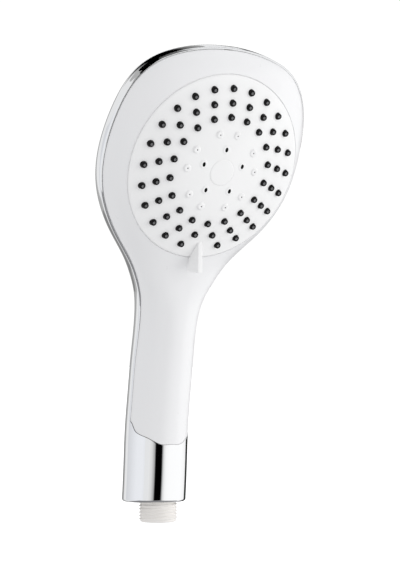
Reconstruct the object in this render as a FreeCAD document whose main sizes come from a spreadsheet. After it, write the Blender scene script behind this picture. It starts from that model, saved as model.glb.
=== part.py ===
import FreeCAD, Part
import Sketcher
import math
import os

# Hand shower with a turning spray face.
# Frame: origin at the centre of the hose thread's end face, +Z up along the thread,
# the spray side looks towards -Y (and a little down), X = 0 is the plane of symmetry.

os.makedirs("parts", exist_ok=True)
doc = FreeCAD.newDocument("HandShower")
sheet = doc.addObject("Spreadsheet::Sheet", "Sizes")
V = FreeCAD.Vector
ROW = [0]
SIZE = {}


def cell(alias, value):
    """One driving dimension: a plain number in the sheet with a word for an alias."""
    if alias in SIZE:
        return alias
    ROW[0] += 1
    r = ROW[0]
    sheet.set("A%d" % r, alias)
    sheet.set("B%d" % r, "%.5f" % value)
    sheet.setAlias("B%d" % r, alias)
    SIZE[alias] = round(float(value), 5)
    return alias


def num(alias):
    """Read a size back from the sheet."""
    return SIZE[alias]


# ---------------------------------------------------------------- driving dimensions
cell("tilt_deg", 23.4)            # spray face against the thread axis
cell("face_y", -59.58)            # centre of the outer nozzle ring
cell("face_z", 190.14)
cell("dome_apex", 6.674)          # dome height over the outer nozzle ring
cell("dome_rad", 149.7)
cell("disc_rad", 50.9)            # turning spray disc
cell("opening_rad", 51.25)        # opening in the front cover
cell("lip_width", 1.2)            # chrome lip outside the white cover
cell("wall_shell", 2.2)
cell("wall_cover", 2.0)
cell("rim_step", 1.2)             # how far the cover's edge drops into the shell's rim
cell("edge_gap", 0.06)
cell("collar_low", 12.0)          # bottom of the collar
cell("thread_r", 10.4775)         # G 1/2 major radius
cell("thread_root", 9.3155)
cell("thread_pitch", 1.814)
cell("seat_bore", 7.0)
cell("ring_out", 44.2)
cell("ring_mid", 36.9)
cell("ring_in", 29.6)
cell("ring_mist", 20.9)
cell("ring_jet", 12.6)

# body stations: y, z of the parting chord, tilt of the section, half width, front height,
# back depth, front exponents (width, height), back exponent
STATIONS = [
    (3.98, 12.0, 0, 17.6, 16.2, 19.0, 2, 2, 2),
    (2.5, 30.0, 3, 17.55, 16.15, 18.95, 2, 2, 2),
    (1.1, 50.0, 6, 17.5, 16.1, 18.9, 2, 2, 2),
    (-1.75, 70.0, 9, 17.45, 16.05, 18.85, 2, 2, 2),
    (-5.0, 90.0, 12, 17.4, 16.0, 18.8, 2, 2, 2.0),
    (-9.3, 110.0, 15, 17.45, 15.6, 18.9, 2, 2, 2.1),
    (-13.91, 123.6, 18, 20.12, 13.6, 18.9, 2.1, 1.87, 2.4),
    (-17.88, 131.77, 19.5, 24.34, 11.7, 20.0, 2.4, 1.65, 2.65),
    (-21.07, 139.55, 20.9, 29.34, 10.9, 20.8, 2.9, 1.45, 2.85),
    (-24.38, 147.49, 21.9, 36.05, 12.0, 21.2, 3.4, 1.33, 3.0),
    (-28.45, 155.87, 22.75, 43.85, 14.78, 21.3, 3.7, 1.3, 3.1),
    (-33.27, 165.55, 23.4, 51.33, 17.7, 20.9, 3.9, 1.3, 3.2),
    (-38.38, 177.37, 23.4, 57.4, 19.7, 20.4, 4.08, 1.3, 3.2),
    (-43.94, 190.1, 23.4, 60.51, 20.75, 20.0, 4.05, 1.3, 3.2),
    (-50.07, 202.89, 23.4, 60.97, 20.25, 19.3, 3.65, 1.3, 3.2),
    (-56.3, 215.52, 23.4, 59.32, 18.11, 18.5, 3.0, 1.3, 3.2),
    (-61.6, 227.07, 23.4, 55.64, 15.37, 17.9, 2.55, 1.3, 3.2),
    (-66.0, 236.78, 23.4, 49.48, 12.0, 16.9, 2.4, 1.3, 3.2),
    (-69.22, 243.67, 23.4, 41.04, 8.4, 14.7, 2.38, 1.3, 3.2),
    (-70.95, 247.8, 23.4, 31.83, 5.46, 12.1, 2.38, 1.3, 3.2),
    (-71.78, 250.24, 23.4, 23.05, 3.38, 9.95, 2.38, 1.3, 3.2),
    (-72.37, 251.65, 23.4, 15.1, 1.95, 7.79, 2.38, 1.3, 3.2),
    (-72.93, 252.31, 23.4, 8.07, 0.95, 5.46, 2.38, 1.3, 3.2),
    (-73.22, 252.54, 23.4, 2.51, 0.4, 3.08, 2.38, 1.3, 3.2),
]
STATION_KEYS = ("y", "z", "tilt", "wide", "front", "back", "pw", "ph", "pb")
for i, st in enumerate(STATIONS):
    for k, v in zip(STATION_KEYS, st):
        cell("st%s_%s" % (chr(97 + i), k), v)
doc.recompute()


def table():
    return [[num("st%s_%s" % (chr(97 + i), k)) for k in STATION_KEYS] for i in range(len(STATIONS))]


# ---------------------------------------------------------------- small maths: cubic spline
def spline(s, y):
    """Cubic spline through (s, y) with not-a-knot-like natural ends; returns value and slope."""
    n = len(s)
    h = [s[i + 1] - s[i] for i in range(n - 1)]
    a = [0.0] * n
    b = [1.0] * n
    c = [0.0] * n
    d = [0.0] * n
    for i in range(1, n - 1):
        a[i] = h[i - 1]
        b[i] = 2 * (h[i - 1] + h[i])
        c[i] = h[i]
        d[i] = 6 * ((y[i + 1] - y[i]) / h[i] - (y[i] - y[i - 1]) / h[i - 1])
    for i in range(1, n):
        m = a[i] / b[i - 1]
        b[i] -= m * c[i - 1]
        d[i] -= m * d[i - 1]
    m2 = [0.0] * n
    m2[-1] = d[-1] / b[-1]
    for i in range(n - 2, -1, -1):
        m2[i] = (d[i] - c[i] * m2[i + 1]) / b[i]

    def f(t):
        i = 0
        while i < n - 2 and t > s[i + 1]:
            i += 1
        u = t - s[i]
        w = s[i + 1] - t
        hh = h[i]
        val = (m2[i] * w ** 3 + m2[i + 1] * u ** 3) / (6 * hh) + (y[i] / hh - m2[i] * hh / 6) * w + (y[i + 1] / hh - m2[i + 1] * hh / 6) * u
        slo = (-m2[i] * w ** 2 + m2[i + 1] * u ** 2) / (2 * hh) - (y[i] / hh - m2[i] * hh / 6) + (y[i + 1] / hh - m2[i + 1] * hh / 6)
        return val, slo

    return f


TAB = table()
CHORD = [0.0]
for i in range(1, len(TAB)):
    p, q = TAB[i - 1], TAB[i]
    CHORD.append(CHORD[-1] + math.sqrt((q[0] - p[0]) ** 2 + (q[1] - p[1]) ** 2 + (q[3] - p[3]) ** 2))
CURVES = [spline(CHORD, [r[k] for r in TAB]) for k in range(9)]


def station(t):
    """All section values at chord t, and the outline's outward normal (side part, upward part)."""
    val, slo = zip(*[c(t) for c in CURVES])
    g = math.radians(val[2])
    up = (-math.sin(g), math.cos(g))
    fr = (-math.cos(g), -math.sin(g))
    adv = slo[0] * up[0] + slo[1] * up[1]
    dw = slo[3]
    ln = math.hypot(adv, dw)
    return val, up, fr, adv / ln, -dw / ln


def section(t, side, front, back, shift=0.0, n=20):
    """Closed section of the handset's body at chord t, pulled in by side/front/back.

    shift moves the whole section towards the back. Points run from the +X parting point over
    the front to the -X parting point and back behind.
    """
    val, up, fr, nx, nu = station(t)
    w = max(val[3] - side * nx, 0.15)
    oy = val[0] - side * nu * up[0] - shift * fr[0]
    oz = val[1] - side * nu * up[1] - shift * fr[1]
    hf = max(val[4] - front * nx, 0.1)
    hb = max(val[5] - back * nx, 0.1)
    pts = []
    for i in range(2 * n):
        a = math.pi * i / n
        c, s = math.cos(a), math.sin(a)
        if i <= n:
            x = w * math.copysign(abs(c) ** (2 / val[6]), c)
            k = hf * abs(s) ** (2 / val[7])
        else:
            x = w * math.copysign(abs(c) ** (2 / val[8]), c)
            k = -hb * abs(s) ** (2 / val[8])
        if abs(c) < 1e-9:
            x = 0.0
        if abs(s) < 1e-9:
            k = 0.0
        pts.append(V(x, oy + k * fr[0], oz + k * fr[1]))
    return pts


def skinned(sections):
    """Closed solid whose surface runs smoothly through closed sections of equal point count."""
    m = len(sections[0])
    around = [i / float(m) for i in range(m + 1)]
    rows = []
    for pts in sections:
        c = Part.BSplineCurve()
        c.interpolate(Points=pts, PeriodicFlag=True, Parameters=around)
        rows.append(c)
    poles = [r.getPoles() for r in rows]
    count = len(poles[0])
    along = [0.0]
    for j in range(1, len(rows)):
        along.append(along[-1] + sum(poles[j][i].distanceToPoint(poles[j - 1][i]) for i in range(count)) / count)
    along = [x / along[-1] for x in along]
    cols = []
    for i in range(count):
        c = Part.BSplineCurve()
        c.interpolate(Points=[p[i] for p in poles], PeriodicFlag=False, Parameters=along)
        cols.append(c)
    r, k = rows[0], cols[0]
    surf = Part.BSplineSurface()
    surf.buildFromPolesMultsKnots(
        [c.getPoles() for c in cols], r.getMultiplicities(), k.getMultiplicities(),
        r.getKnots(), k.getKnots(), True, False, r.Degree, k.Degree)
    face = surf.toShape()
    if face.ShapeType != "Face":
        face = face.Faces[0]
    caps = [Part.Face(Part.Wire([e])) for e in face.Edges if e.isClosed() and not e.isSeam(face)]
    shell = Part.makeShell([face] + caps)
    shell.sewShape()
    solid = Part.makeSolid(shell)
    if solid.Volume < 0:
        solid.reverse()
    solid.fix(1e-4, 1e-4, 1e-3)
    return solid


def skin(side, front, back, lo=0.0, hi=1.0, count=28, n=14, rounding=0.0):
    """The handset's body between two chord fractions, pulled in by side, front and back.

    rounding rolls the lower end's edge over.
    """
    total = CHORD[-1]
    rows = []
    start = lo
    if rounding > 0:
        for k in range(5):
            a = math.radians(22.5 * k)
            d = rounding * (1 - math.sin(a))
            rows.append(section(lo * total + rounding * (1 - math.cos(a)), side + d, front + d, back + d, n=n))
        start = lo + (rounding + 3.0) / total
    rows += [section(total * (start + (hi - start) * i / (count - 1.0)), side, front, back, n=n) for i in range(count)]
    return skinned(rows)


def feature(label, shape):
    """A sub-part whose shape is worked out from the sheet's sizes."""
    o = doc.addObject("Part::Feature", label)
    o.Label = label
    o.Shape = shape
    o.Placement = FreeCAD.Placement()
    return o


def extruded(edges, axis):
    """Planar closed outline swept along a vector."""
    return Part.Face(Part.Wire(edges)).extrude(axis)


def parting(shift, reach=90.0):
    """Solid in front of the parting surface; shift moves the surface towards the back."""
    total = CHORD[-1]
    line = []
    for i in range(25):
        val, up, fr, nx, nu = station(total * i / 24.0)
        line.append(V(-reach, val[0] - shift * fr[0], val[1] - shift * fr[1]))
    low = V(-reach, line[0].y, line[0].z - 30.0)
    val, up, fr, nx, nu = station(total)
    top = V(-reach, line[-1].y + up[0] * 40, line[-1].z + up[1] * 40)
    c = Part.BSplineCurve()
    c.interpolate(line)
    far_top = V(-reach, -170.0, top.z)
    far_low = V(-reach, -170.0, low.z)
    edges = [Part.makeLine(low, line[0]), c.toShape(), Part.makeLine(line[-1], top),
             Part.makeLine(top, far_top), Part.makeLine(far_top, far_low), Part.makeLine(far_low, low)]
    return extruded(edges, V(2 * reach, 0, 0))


# lower end of the white cover on the handle, seen from the front: a flat tongue with sloping
# corners that run up into the parting line
TONGUE = [(0.0, 43.0), (6.4, 43.15), (8.8, 44.5), (12.2, 46.8), (15.1, 49.3), (16.7, 51.5), (17.5, 54.2), (18.4, 60.0)]
for i, (a, b) in enumerate(TONGUE):
    cell("tongue_%s_x" % chr(97 + i), a)
    cell("tongue_%s_z" % chr(97 + i), b)
doc.recompute()


def tongue(raise_by):
    """Solid above the tongue's edge, extruded front to back."""
    half = [(num("tongue_%s_x" % chr(97 + i)), num("tongue_%s_z" % chr(97 + i)) + raise_by) for i in range(len(TONGUE))]
    pts = [V(-x, -160, z) for x, z in reversed(half)] + [V(x, -160, z) for x, z in half[1:]]
    c = Part.BSplineCurve()
    c.interpolate(pts)
    a, b = pts[0], pts[-1]
    corners = [b, V(95, -160, b.z + 2), V(95, -160, 320), V(-95, -160, 320), V(-95, -160, a.z + 2), a]
    edges = [c.toShape()] + [Part.makeLine(corners[i], corners[i + 1]) for i in range(5)]
    return extruded(edges, V(0, 260, 0))


lip = num("lip_width")
gap = num("edge_gap")
ws = num("wall_shell")
wc = num("wall_cover")
step = num("rim_step")
TILT = math.radians(num("tilt_deg"))
FACE = FreeCAD.Placement(V(0, num("face_y"), num("face_z")), FreeCAD.Rotation(V(1, 0, 0), 90 + num("tilt_deg")))


def in_face(shape):
    """Shape drawn on the spray face's own frame (Z outwards, Y up) put where it belongs."""
    s = shape.copy()
    s.Placement = FACE.multiply(s.Placement)
    return s


def cyl(r, z0, z1, x=0.0, y=0.0):
    return Part.makeCylinder(r, z1 - z0, V(x, y, z0))


def dome(r):
    """Height of the spray disc's dome at radius r from its axis."""
    R = num("dome_rad")
    return num("dome_apex") - (R - math.sqrt(R * R - r * r))



# ================================================================ drawing helpers
# The model is drawn in two passes over the same code: the first only writes every size into
# the sheet, the second makes the bodies, so that no feature is worked out twice.
MADE = []          # every finished sub-part, in order
PLANNING = [True]
COUNT = [0]
VOLUMES = {}


def role(body, name):
    """One of a body's own origin planes or axes."""
    for f in body.Origin.OriginFeatures:
        if f.Role == name:
            return f
    raise RuntimeError(name)


def new_body(label, place=None):
    if PLANNING[0]:
        return label
    b = doc.addObject("PartDesign::Body", label)
    b.Label = label
    b.Placement = place if place is not None else FreeCAD.Placement()
    b.AllowCompound = True
    MADE.append(b)
    return b


def tag():
    """A fresh word for a cell's alias."""
    COUNT[0] += 1
    k = COUNT[0]
    return "%s%s%s" % (chr(97 + k // 676 % 26), chr(97 + k // 26 % 26), chr(97 + k % 26))


def size(v, alias):
    """A size given as a number (own cell), an alias, or (alias, offset): value and expression."""
    if isinstance(v, str):
        return num(v), "Sizes." + v
    if isinstance(v, tuple):
        return num(v[0]) + v[1], "Sizes.%s + %.5f" % v if v[1] >= 0 else "Sizes.%s - %.5f" % (v[0], -v[1])
    cell(alias, v)
    return num(alias), "Sizes." + alias


def new_sketch(body, name, plane="XZ_Plane", off=None, shift=None):
    """A sketch on one of the body's planes, off along its normal and shift along its own x."""
    moves = []
    if off is not None:
        moves.append(("z",) + size(off, "%s_off_%s" % (name, tag())))
    if shift is not None:
        moves.append(("x",) + size(shift, "%s_shift_%s" % (name, tag())))
    if PLANNING[0]:
        return None
    sk = body.newObject("Sketcher::SketchObject", name)
    sk.AttachmentSupport = [(role(body, plane), "")]
    sk.MapMode = "FlatFace"
    for axis, v, e in moves:
        sk.setExpression("AttachmentOffset.Base." + axis, e)
    return sk


def fix_point(sk, geo, pos, x, y, xe, ye):
    """Dimension one point from the sketch's origin."""
    for val, expr, kind, axis in ((x, xe, "DistanceX", -2), (y, ye, "DistanceY", -1)):
        if abs(val) < 1e-7:
            sk.addConstraint(Sketcher.Constraint("PointOnObject", geo, pos, axis))
        else:
            c = sk.addConstraint(Sketcher.Constraint(kind, -1, 1, geo, pos, val))
            sk.setExpression("Constraints[%d]" % c, expr)


def zero(v):
    return isinstance(v, (int, float)) and abs(v) < 1e-7


def outline(sk, pts, arcs=None):
    """Closed outline through dimensioned points; arcs[i] = (radius, near point of the centre)."""
    arcs = arcs or {}
    n = len(pts)
    word = tag()
    dims = []
    for i, p in enumerate(pts):
        k = chr(97 + i // 26) + chr(97 + i % 26)
        x, xe = (0.0, "") if zero(p[0]) else size(p[0], "%s_x_%s" % (word, k))
        y, ye = (0.0, "") if zero(p[1]) else size(p[1], "%s_y_%s" % (word, k))
        dims.append((x, y, xe, ye))
    radii = {i: size(arcs[i][0], "%s_r_%s" % (word, chr(97 + i))) for i in sorted(arcs)}
    if PLANNING[0]:
        return sk
    ends = []
    for i in range(n):
        ax, ay = dims[i][:2]
        bx, by = dims[(i + 1) % n][:2]
        if i in arcs:
            near = arcs[i][1]
            r, re = radii[i]
            mx, my = (ax + bx) / 2, (ay + by) / 2
            dx, dy = bx - ax, by - ay
            hl = math.hypot(dx, dy) / 2
            k = math.sqrt(max(r * r - hl * hl, 0)) / (2 * hl)
            cands = [(mx - dy * k, my + dx * k), (mx + dy * k, my - dx * k)]
            cx, cy = min(cands, key=lambda c: (c[0] - near[0]) ** 2 + (c[1] - near[1]) ** 2)
            a0 = math.atan2(ay - cy, ax - cx)
            a1 = math.atan2(by - cy, bx - cx)
            turn = (a1 - a0) % (2 * math.pi)
            circle = Part.Circle(V(cx, cy, 0), V(0, 0, 1), r)
            if turn <= math.pi:
                g = sk.addGeometry(Part.ArcOfCircle(circle, a0, a0 + turn), False)
                ends.append((g, 1, 2))
            else:
                g = sk.addGeometry(Part.ArcOfCircle(circle, a1, a1 + 2 * math.pi - turn), False)
                ends.append((g, 2, 1))
            c = sk.addConstraint(Sketcher.Constraint("Radius", g, r))
            sk.setExpression("Constraints[%d]" % c, re)
        else:
            g = sk.addGeometry(Part.LineSegment(V(ax, ay, 0), V(bx, by, 0)), False)
            ends.append((g, 1, 2))
    for i in range(n):
        j = (i + 1) % n
        sk.addConstraint(Sketcher.Constraint("Coincident", ends[i][0], ends[i][2], ends[j][0], ends[j][1]))
    for i in range(n):
        fix_point(sk, ends[i][0], ends[i][1], *dims[i])
    return sk


def rounds(sk, circles):
    """Circles (x, y, radius), all dimensioned."""
    for cx, cy, cr in circles:
        word = tag()
        x, xe = (0.0, "") if zero(cx) else size(cx, word + "_cx")
        y, ye = (0.0, "") if zero(cy) else size(cy, word + "_cy")
        r, re = size(cr, word + "_cr")
        if PLANNING[0]:
            continue
        g = sk.addGeometry(Part.Circle(V(x, y, 0), V(0, 0, 1), r), False)
        c = sk.addConstraint(Sketcher.Constraint("Radius", g, r))
        sk.setExpression("Constraints[%d]" % c, re)
        fix_point(sk, g, 3, x, y, xe, ye)
    return sk


def settle(body, what, grows):
    """Recompute and make sure that the last feature really added or cut something."""
    before = VOLUMES.get(body.Name, 0.0)
    doc.recompute()
    now = body.Shape.Volume
    if (grows and not now > before + 1e-6) or (not grows and not now < before - 1e-6):
        raise RuntimeError("%s %s: %.4f then %.4f" % (body.Label, what, before, now))
    VOLUMES[body.Name] = now


def turned(body, name, pts, arcs=None, cut=False, plane="XZ_Plane", shift=None, off=None):
    """Profile (radius, height) turned about the sketch's vertical axis."""
    sk = new_sketch(body, name + "_profile", plane, off, shift)
    outline(sk, pts, arcs)
    if PLANNING[0]:
        return None
    f = body.newObject("PartDesign::Groove" if cut else "PartDesign::Revolution", name)
    f.Profile = sk
    f.ReferenceAxis = (sk, ["V_Axis"])
    f.Angle = 360.0
    settle(body, name, not cut)
    return f


def raised(body, name, draw, lo, hi, plane="XY_Plane", cut=False):
    """Pad or pocket between two heights over a plane; draw(sketch) draws the outline."""
    sk = new_sketch(body, name + "_sketch", plane, hi if cut else lo)
    draw(sk)
    v, e = size(hi - lo, name + "_len_" + tag())
    if PLANNING[0]:
        return None
    f = body.newObject("PartDesign::Pocket" if cut else "PartDesign::Pad", name)
    f.Profile = sk
    f.Length = v
    f.setExpression("Length", e)
    settle(body, name, not cut)
    return f


def primitive(body, kind, name, base, sizes, turn=0.0):
    """Additive or subtractive primitive at a point of the body's own frame, turned about x."""
    bound = [(k, size(v, "%s_%s" % (name, k.lower()))) for k, v in sorted(sizes.items())]
    word = tag()
    spots = [(k, size(float(v), "%s_at_%s_%s" % (name, k, word))) for k, v in zip("xyz", base)]
    if PLANNING[0]:
        return None
    p = body.newObject("PartDesign::" + kind, name)
    p.AttachmentSupport = [(role(body, "XY_Plane"), "")]
    p.MapMode = "FlatFace"
    p.AttachmentOffset = FreeCAD.Placement(V(*base), FreeCAD.Rotation(V(1, 0, 0), turn))
    for k, (v, e) in spots:
        p.setExpression("AttachmentOffset.Base." + k, e)
    for k, (v, e) in bound:
        p.setExpression(k, e)
    settle(body, name, kind.startswith("Additive"))
    return p


def around(body, name, feats, count, angle=360.0):
    """Polar pattern about the body's own z axis."""
    v, e = size(float(count), name + "_count_" + tag())
    if PLANNING[0]:
        return None
    p = body.newObject("PartDesign::PolarPattern", name)
    p.Originals = feats if isinstance(feats, list) else [feats]
    p.Axis = (role(body, "Z_Axis"), [""])
    p.Angle = angle
    p.Occurrences = int(count)
    p.setExpression("Occurrences", e)
    body.Tip = p
    doc.recompute()
    VOLUMES[body.Name] = body.Shape.Volume
    return p


def slice_of(body, name, away, low, high, wl, wh):
    """Four-cornered section of the selector tab, standing across the y axis at y = -away."""
    sk = new_sketch(body, name, "XZ_Plane", away)
    outline(sk, [(-wl, low), (wl, low), (wh, high), (-wh, high)])
    return sk


def lofted(body, name, sections):
    if PLANNING[0]:
        return None
    f = body.newObject("PartDesign::AdditiveLoft", name)
    f.Profile = sections[0]
    f.Sections = sections[1:]
    f.Ruled = True
    settle(body, name, True)
    return f


def along_y(body, name, x, z, r, y_from, y_to):
    """Bore along y: from y_from (outer end, more negative) up to y_to."""
    sk = new_sketch(body, name + "_sketch", "XZ_Plane", -y_from)
    rounds(sk, [(x, z, r)])
    v, e = size(y_to - y_from, name + "_long_" + tag())
    if PLANNING[0]:
        return None
    f = body.newObject("PartDesign::Pocket", name)
    f.Profile = sk
    f.Length = v
    f.setExpression("Length", e)
    settle(body, name, False)
    return f


def box_outline(x0, x1, y0, y1):
    return [(x0, y0), (x1, y0), (x1, y1), (x0, y1)]


def oblong(sk, r, y_near, y_far):
    """Slot outline along y, centred on x = 0, between two end centres (y_near above y_far)."""
    pts = [(-r, y_near), (-r, y_far), (0.0, y_far - r), (r, y_far), (r, y_near), (0.0, y_near + r)]
    arcs = {1: (r, (0, y_far)), 2: (r, (0, y_far)), 4: (r, (0, y_near)), 5: (r, (0, y_near))}
    return outline(sk, pts, arcs)


def ring_seal(label, major, minor, level, place=FACE):
    """O-ring on the z axis of its frame."""
    b = new_body(label, place)
    primitive(b, "AdditiveTorus", label + "_ring", (0, 0, level), {"Radius1": major, "Radius2": minor})
    return b


def coil(x, y):
    """Compression spring standing on the seal pocket's spring seat."""
    r, w = num("spring_mean"), num("spring_wire")
    path = Part.makeHelix(num("spring_pitch"), num("spring_tall"), r)
    ring = Part.makePolygon([V(r - w, 0, -w), V(r + w, 0, -w), V(r + w, 0, w), V(r - w, 0, w), V(r - w, 0, -w)])
    c = Part.Wire(path.Edges).makePipeShell([ring], True, True)
    c.translate(V(x, y, num("spring_low")))
    return c


def bends(sk, pts, radii):
    """Straight runs joined by tangent arcs, every end point and radius dimensioned."""
    cur = pts[0]
    runs = []
    for i in range(1, len(pts) - 1):
        p0, p1, p2 = pts[i - 1], pts[i], pts[i + 1]
        u = (p1[0] - p0[0], p1[1] - p0[1])
        w = (p2[0] - p1[0], p2[1] - p1[1])
        lu, lw = math.hypot(*u), math.hypot(*w)
        u = (u[0] / lu, u[1] / lu)
        w = (w[0] / lw, w[1] / lw)
        turn = math.acos(max(-1, min(1, u[0] * w[0] + u[1] * w[1])))
        d = radii[i - 1] * math.tan(turn / 2)
        p = (p1[0] - u[0] * d, p1[1] - u[1] * d)
        q = (p1[0] + w[0] * d, p1[1] + w[1] * d)
        side = (w[0] - u[0], w[1] - u[1])
        ls = math.hypot(*side)
        side = (side[0] / ls, side[1] / ls)
        deep = radii[i - 1] / math.cos(turn / 2)
        mid = (p1[0] + side[0] * (deep - radii[i - 1]), p1[1] + side[1] * (deep - radii[i - 1]))
        runs.append((cur, p))
        runs.append((p, mid, q))
        cur = q
    runs.append((cur, pts[-1]))
    if PLANNING[0]:
        return
    for r in runs:
        if len(r) == 2:
            g = sk.addGeometry(Part.LineSegment(V(r[0][0], r[0][1], 0), V(r[1][0], r[1][1], 0)), False)
        else:
            g = sk.addGeometry(Part.Arc(*[V(x, y, 0) for x, y in r]), False)
        sk.addConstraint(Sketcher.Constraint("Block", g))


def at(r, deg):
    """Point at radius r, turned deg from +y towards +x."""
    a = math.radians(deg)
    return r * math.sin(a), r * math.cos(a)


def bow(radius, r):
    """Height at radius r of a dome with the disc's own centre."""
    return num("dome_apex") - num("dome_rad") + math.sqrt(radius * radius - r * r)


def in_skin(label, shape):
    """Sub-part drawn by its own surface code, kept in the row frame."""
    if len(shape.Solids) == 1:
        shape = shape.Solids[0]
    o = feature(label, shape)
    MADE.append(o)
    return o


# ================================================================ handset shells
cell("collar_round", 1.4)
outer = skin(0, 0, 0, count=30, rounding=num("collar_round"))
inner = skin(ws, ws, ws, hi=0.985)
front0 = parting(0.0)
front1 = parting(step)
tongue0 = tongue(0.0)
opened = front0.common(tongue0)
nest = skin(lip - gap, -3.0, 0.0, lo=0.10).common(front1).common(tongue0)
cell("floor_thick", 2.5)
cell("thread_hole", 10.6)
floor = Part.makeBox(60, 60, num("floor_thick"), V(-30, -30, num("collar_low") - 0.01))
cavity = inner.cut(floor)
hole = Part.makeCylinder(num("thread_hole"), 6, V(0, 0, num("collar_low") - 2))
shell = outer.cut(opened).cut(nest).cut(cavity).cut(hole)
in_skin("rear_shell", shell)

# front cover: opening for the disc, skirt down to the diverter's flange, four screw bosses
cell("skirt_out", 53.0)
cell("skirt_low", -12.1)
cell("skirt_top", -4.6)
cell("boss_ring", 54.2)
cell("boss_rad", 2.8)
cell("boss_pilot", 1.3)
cell("pilot_top", -8.3)
cover_out = skin(lip, 0.0, lip)
cover_in = skin(lip + wc, wc, lip + wc, hi=0.985)
cover = cover_out.cut(cover_in).common(parting(step - gap)).common(tongue(gap))
opening = num("opening_rad")
skirt = in_face(cyl(num("skirt_out"), num("skirt_low"), num("skirt_top")))
bosses = []
pilots = []
for k in range(4):
    bx, by = at(num("boss_ring"), 45 + 90 * k)
    bosses.append(in_face(cyl(num("boss_rad"), num("skirt_low"), 4.0, bx, by)))
    pilots.append(in_face(cyl(num("boss_pilot"), -20.0, num("pilot_top"), bx, by)))
core = skin(lip + 0.8, 0.8, lip + 0.8, hi=0.985)
extra = skirt.multiFuse(bosses).common(core)
cover = cover.fuse(extra).cut(in_face(cyl(opening, -30.0, 20.0))).multiCut(pilots) if hasattr(Part.Shape, "multiCut") else cover.fuse(extra).cut(in_face(cyl(opening, -30.0, 20.0))).cut(Part.makeCompound(pilots))
in_skin("front_cover", cover)


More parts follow.
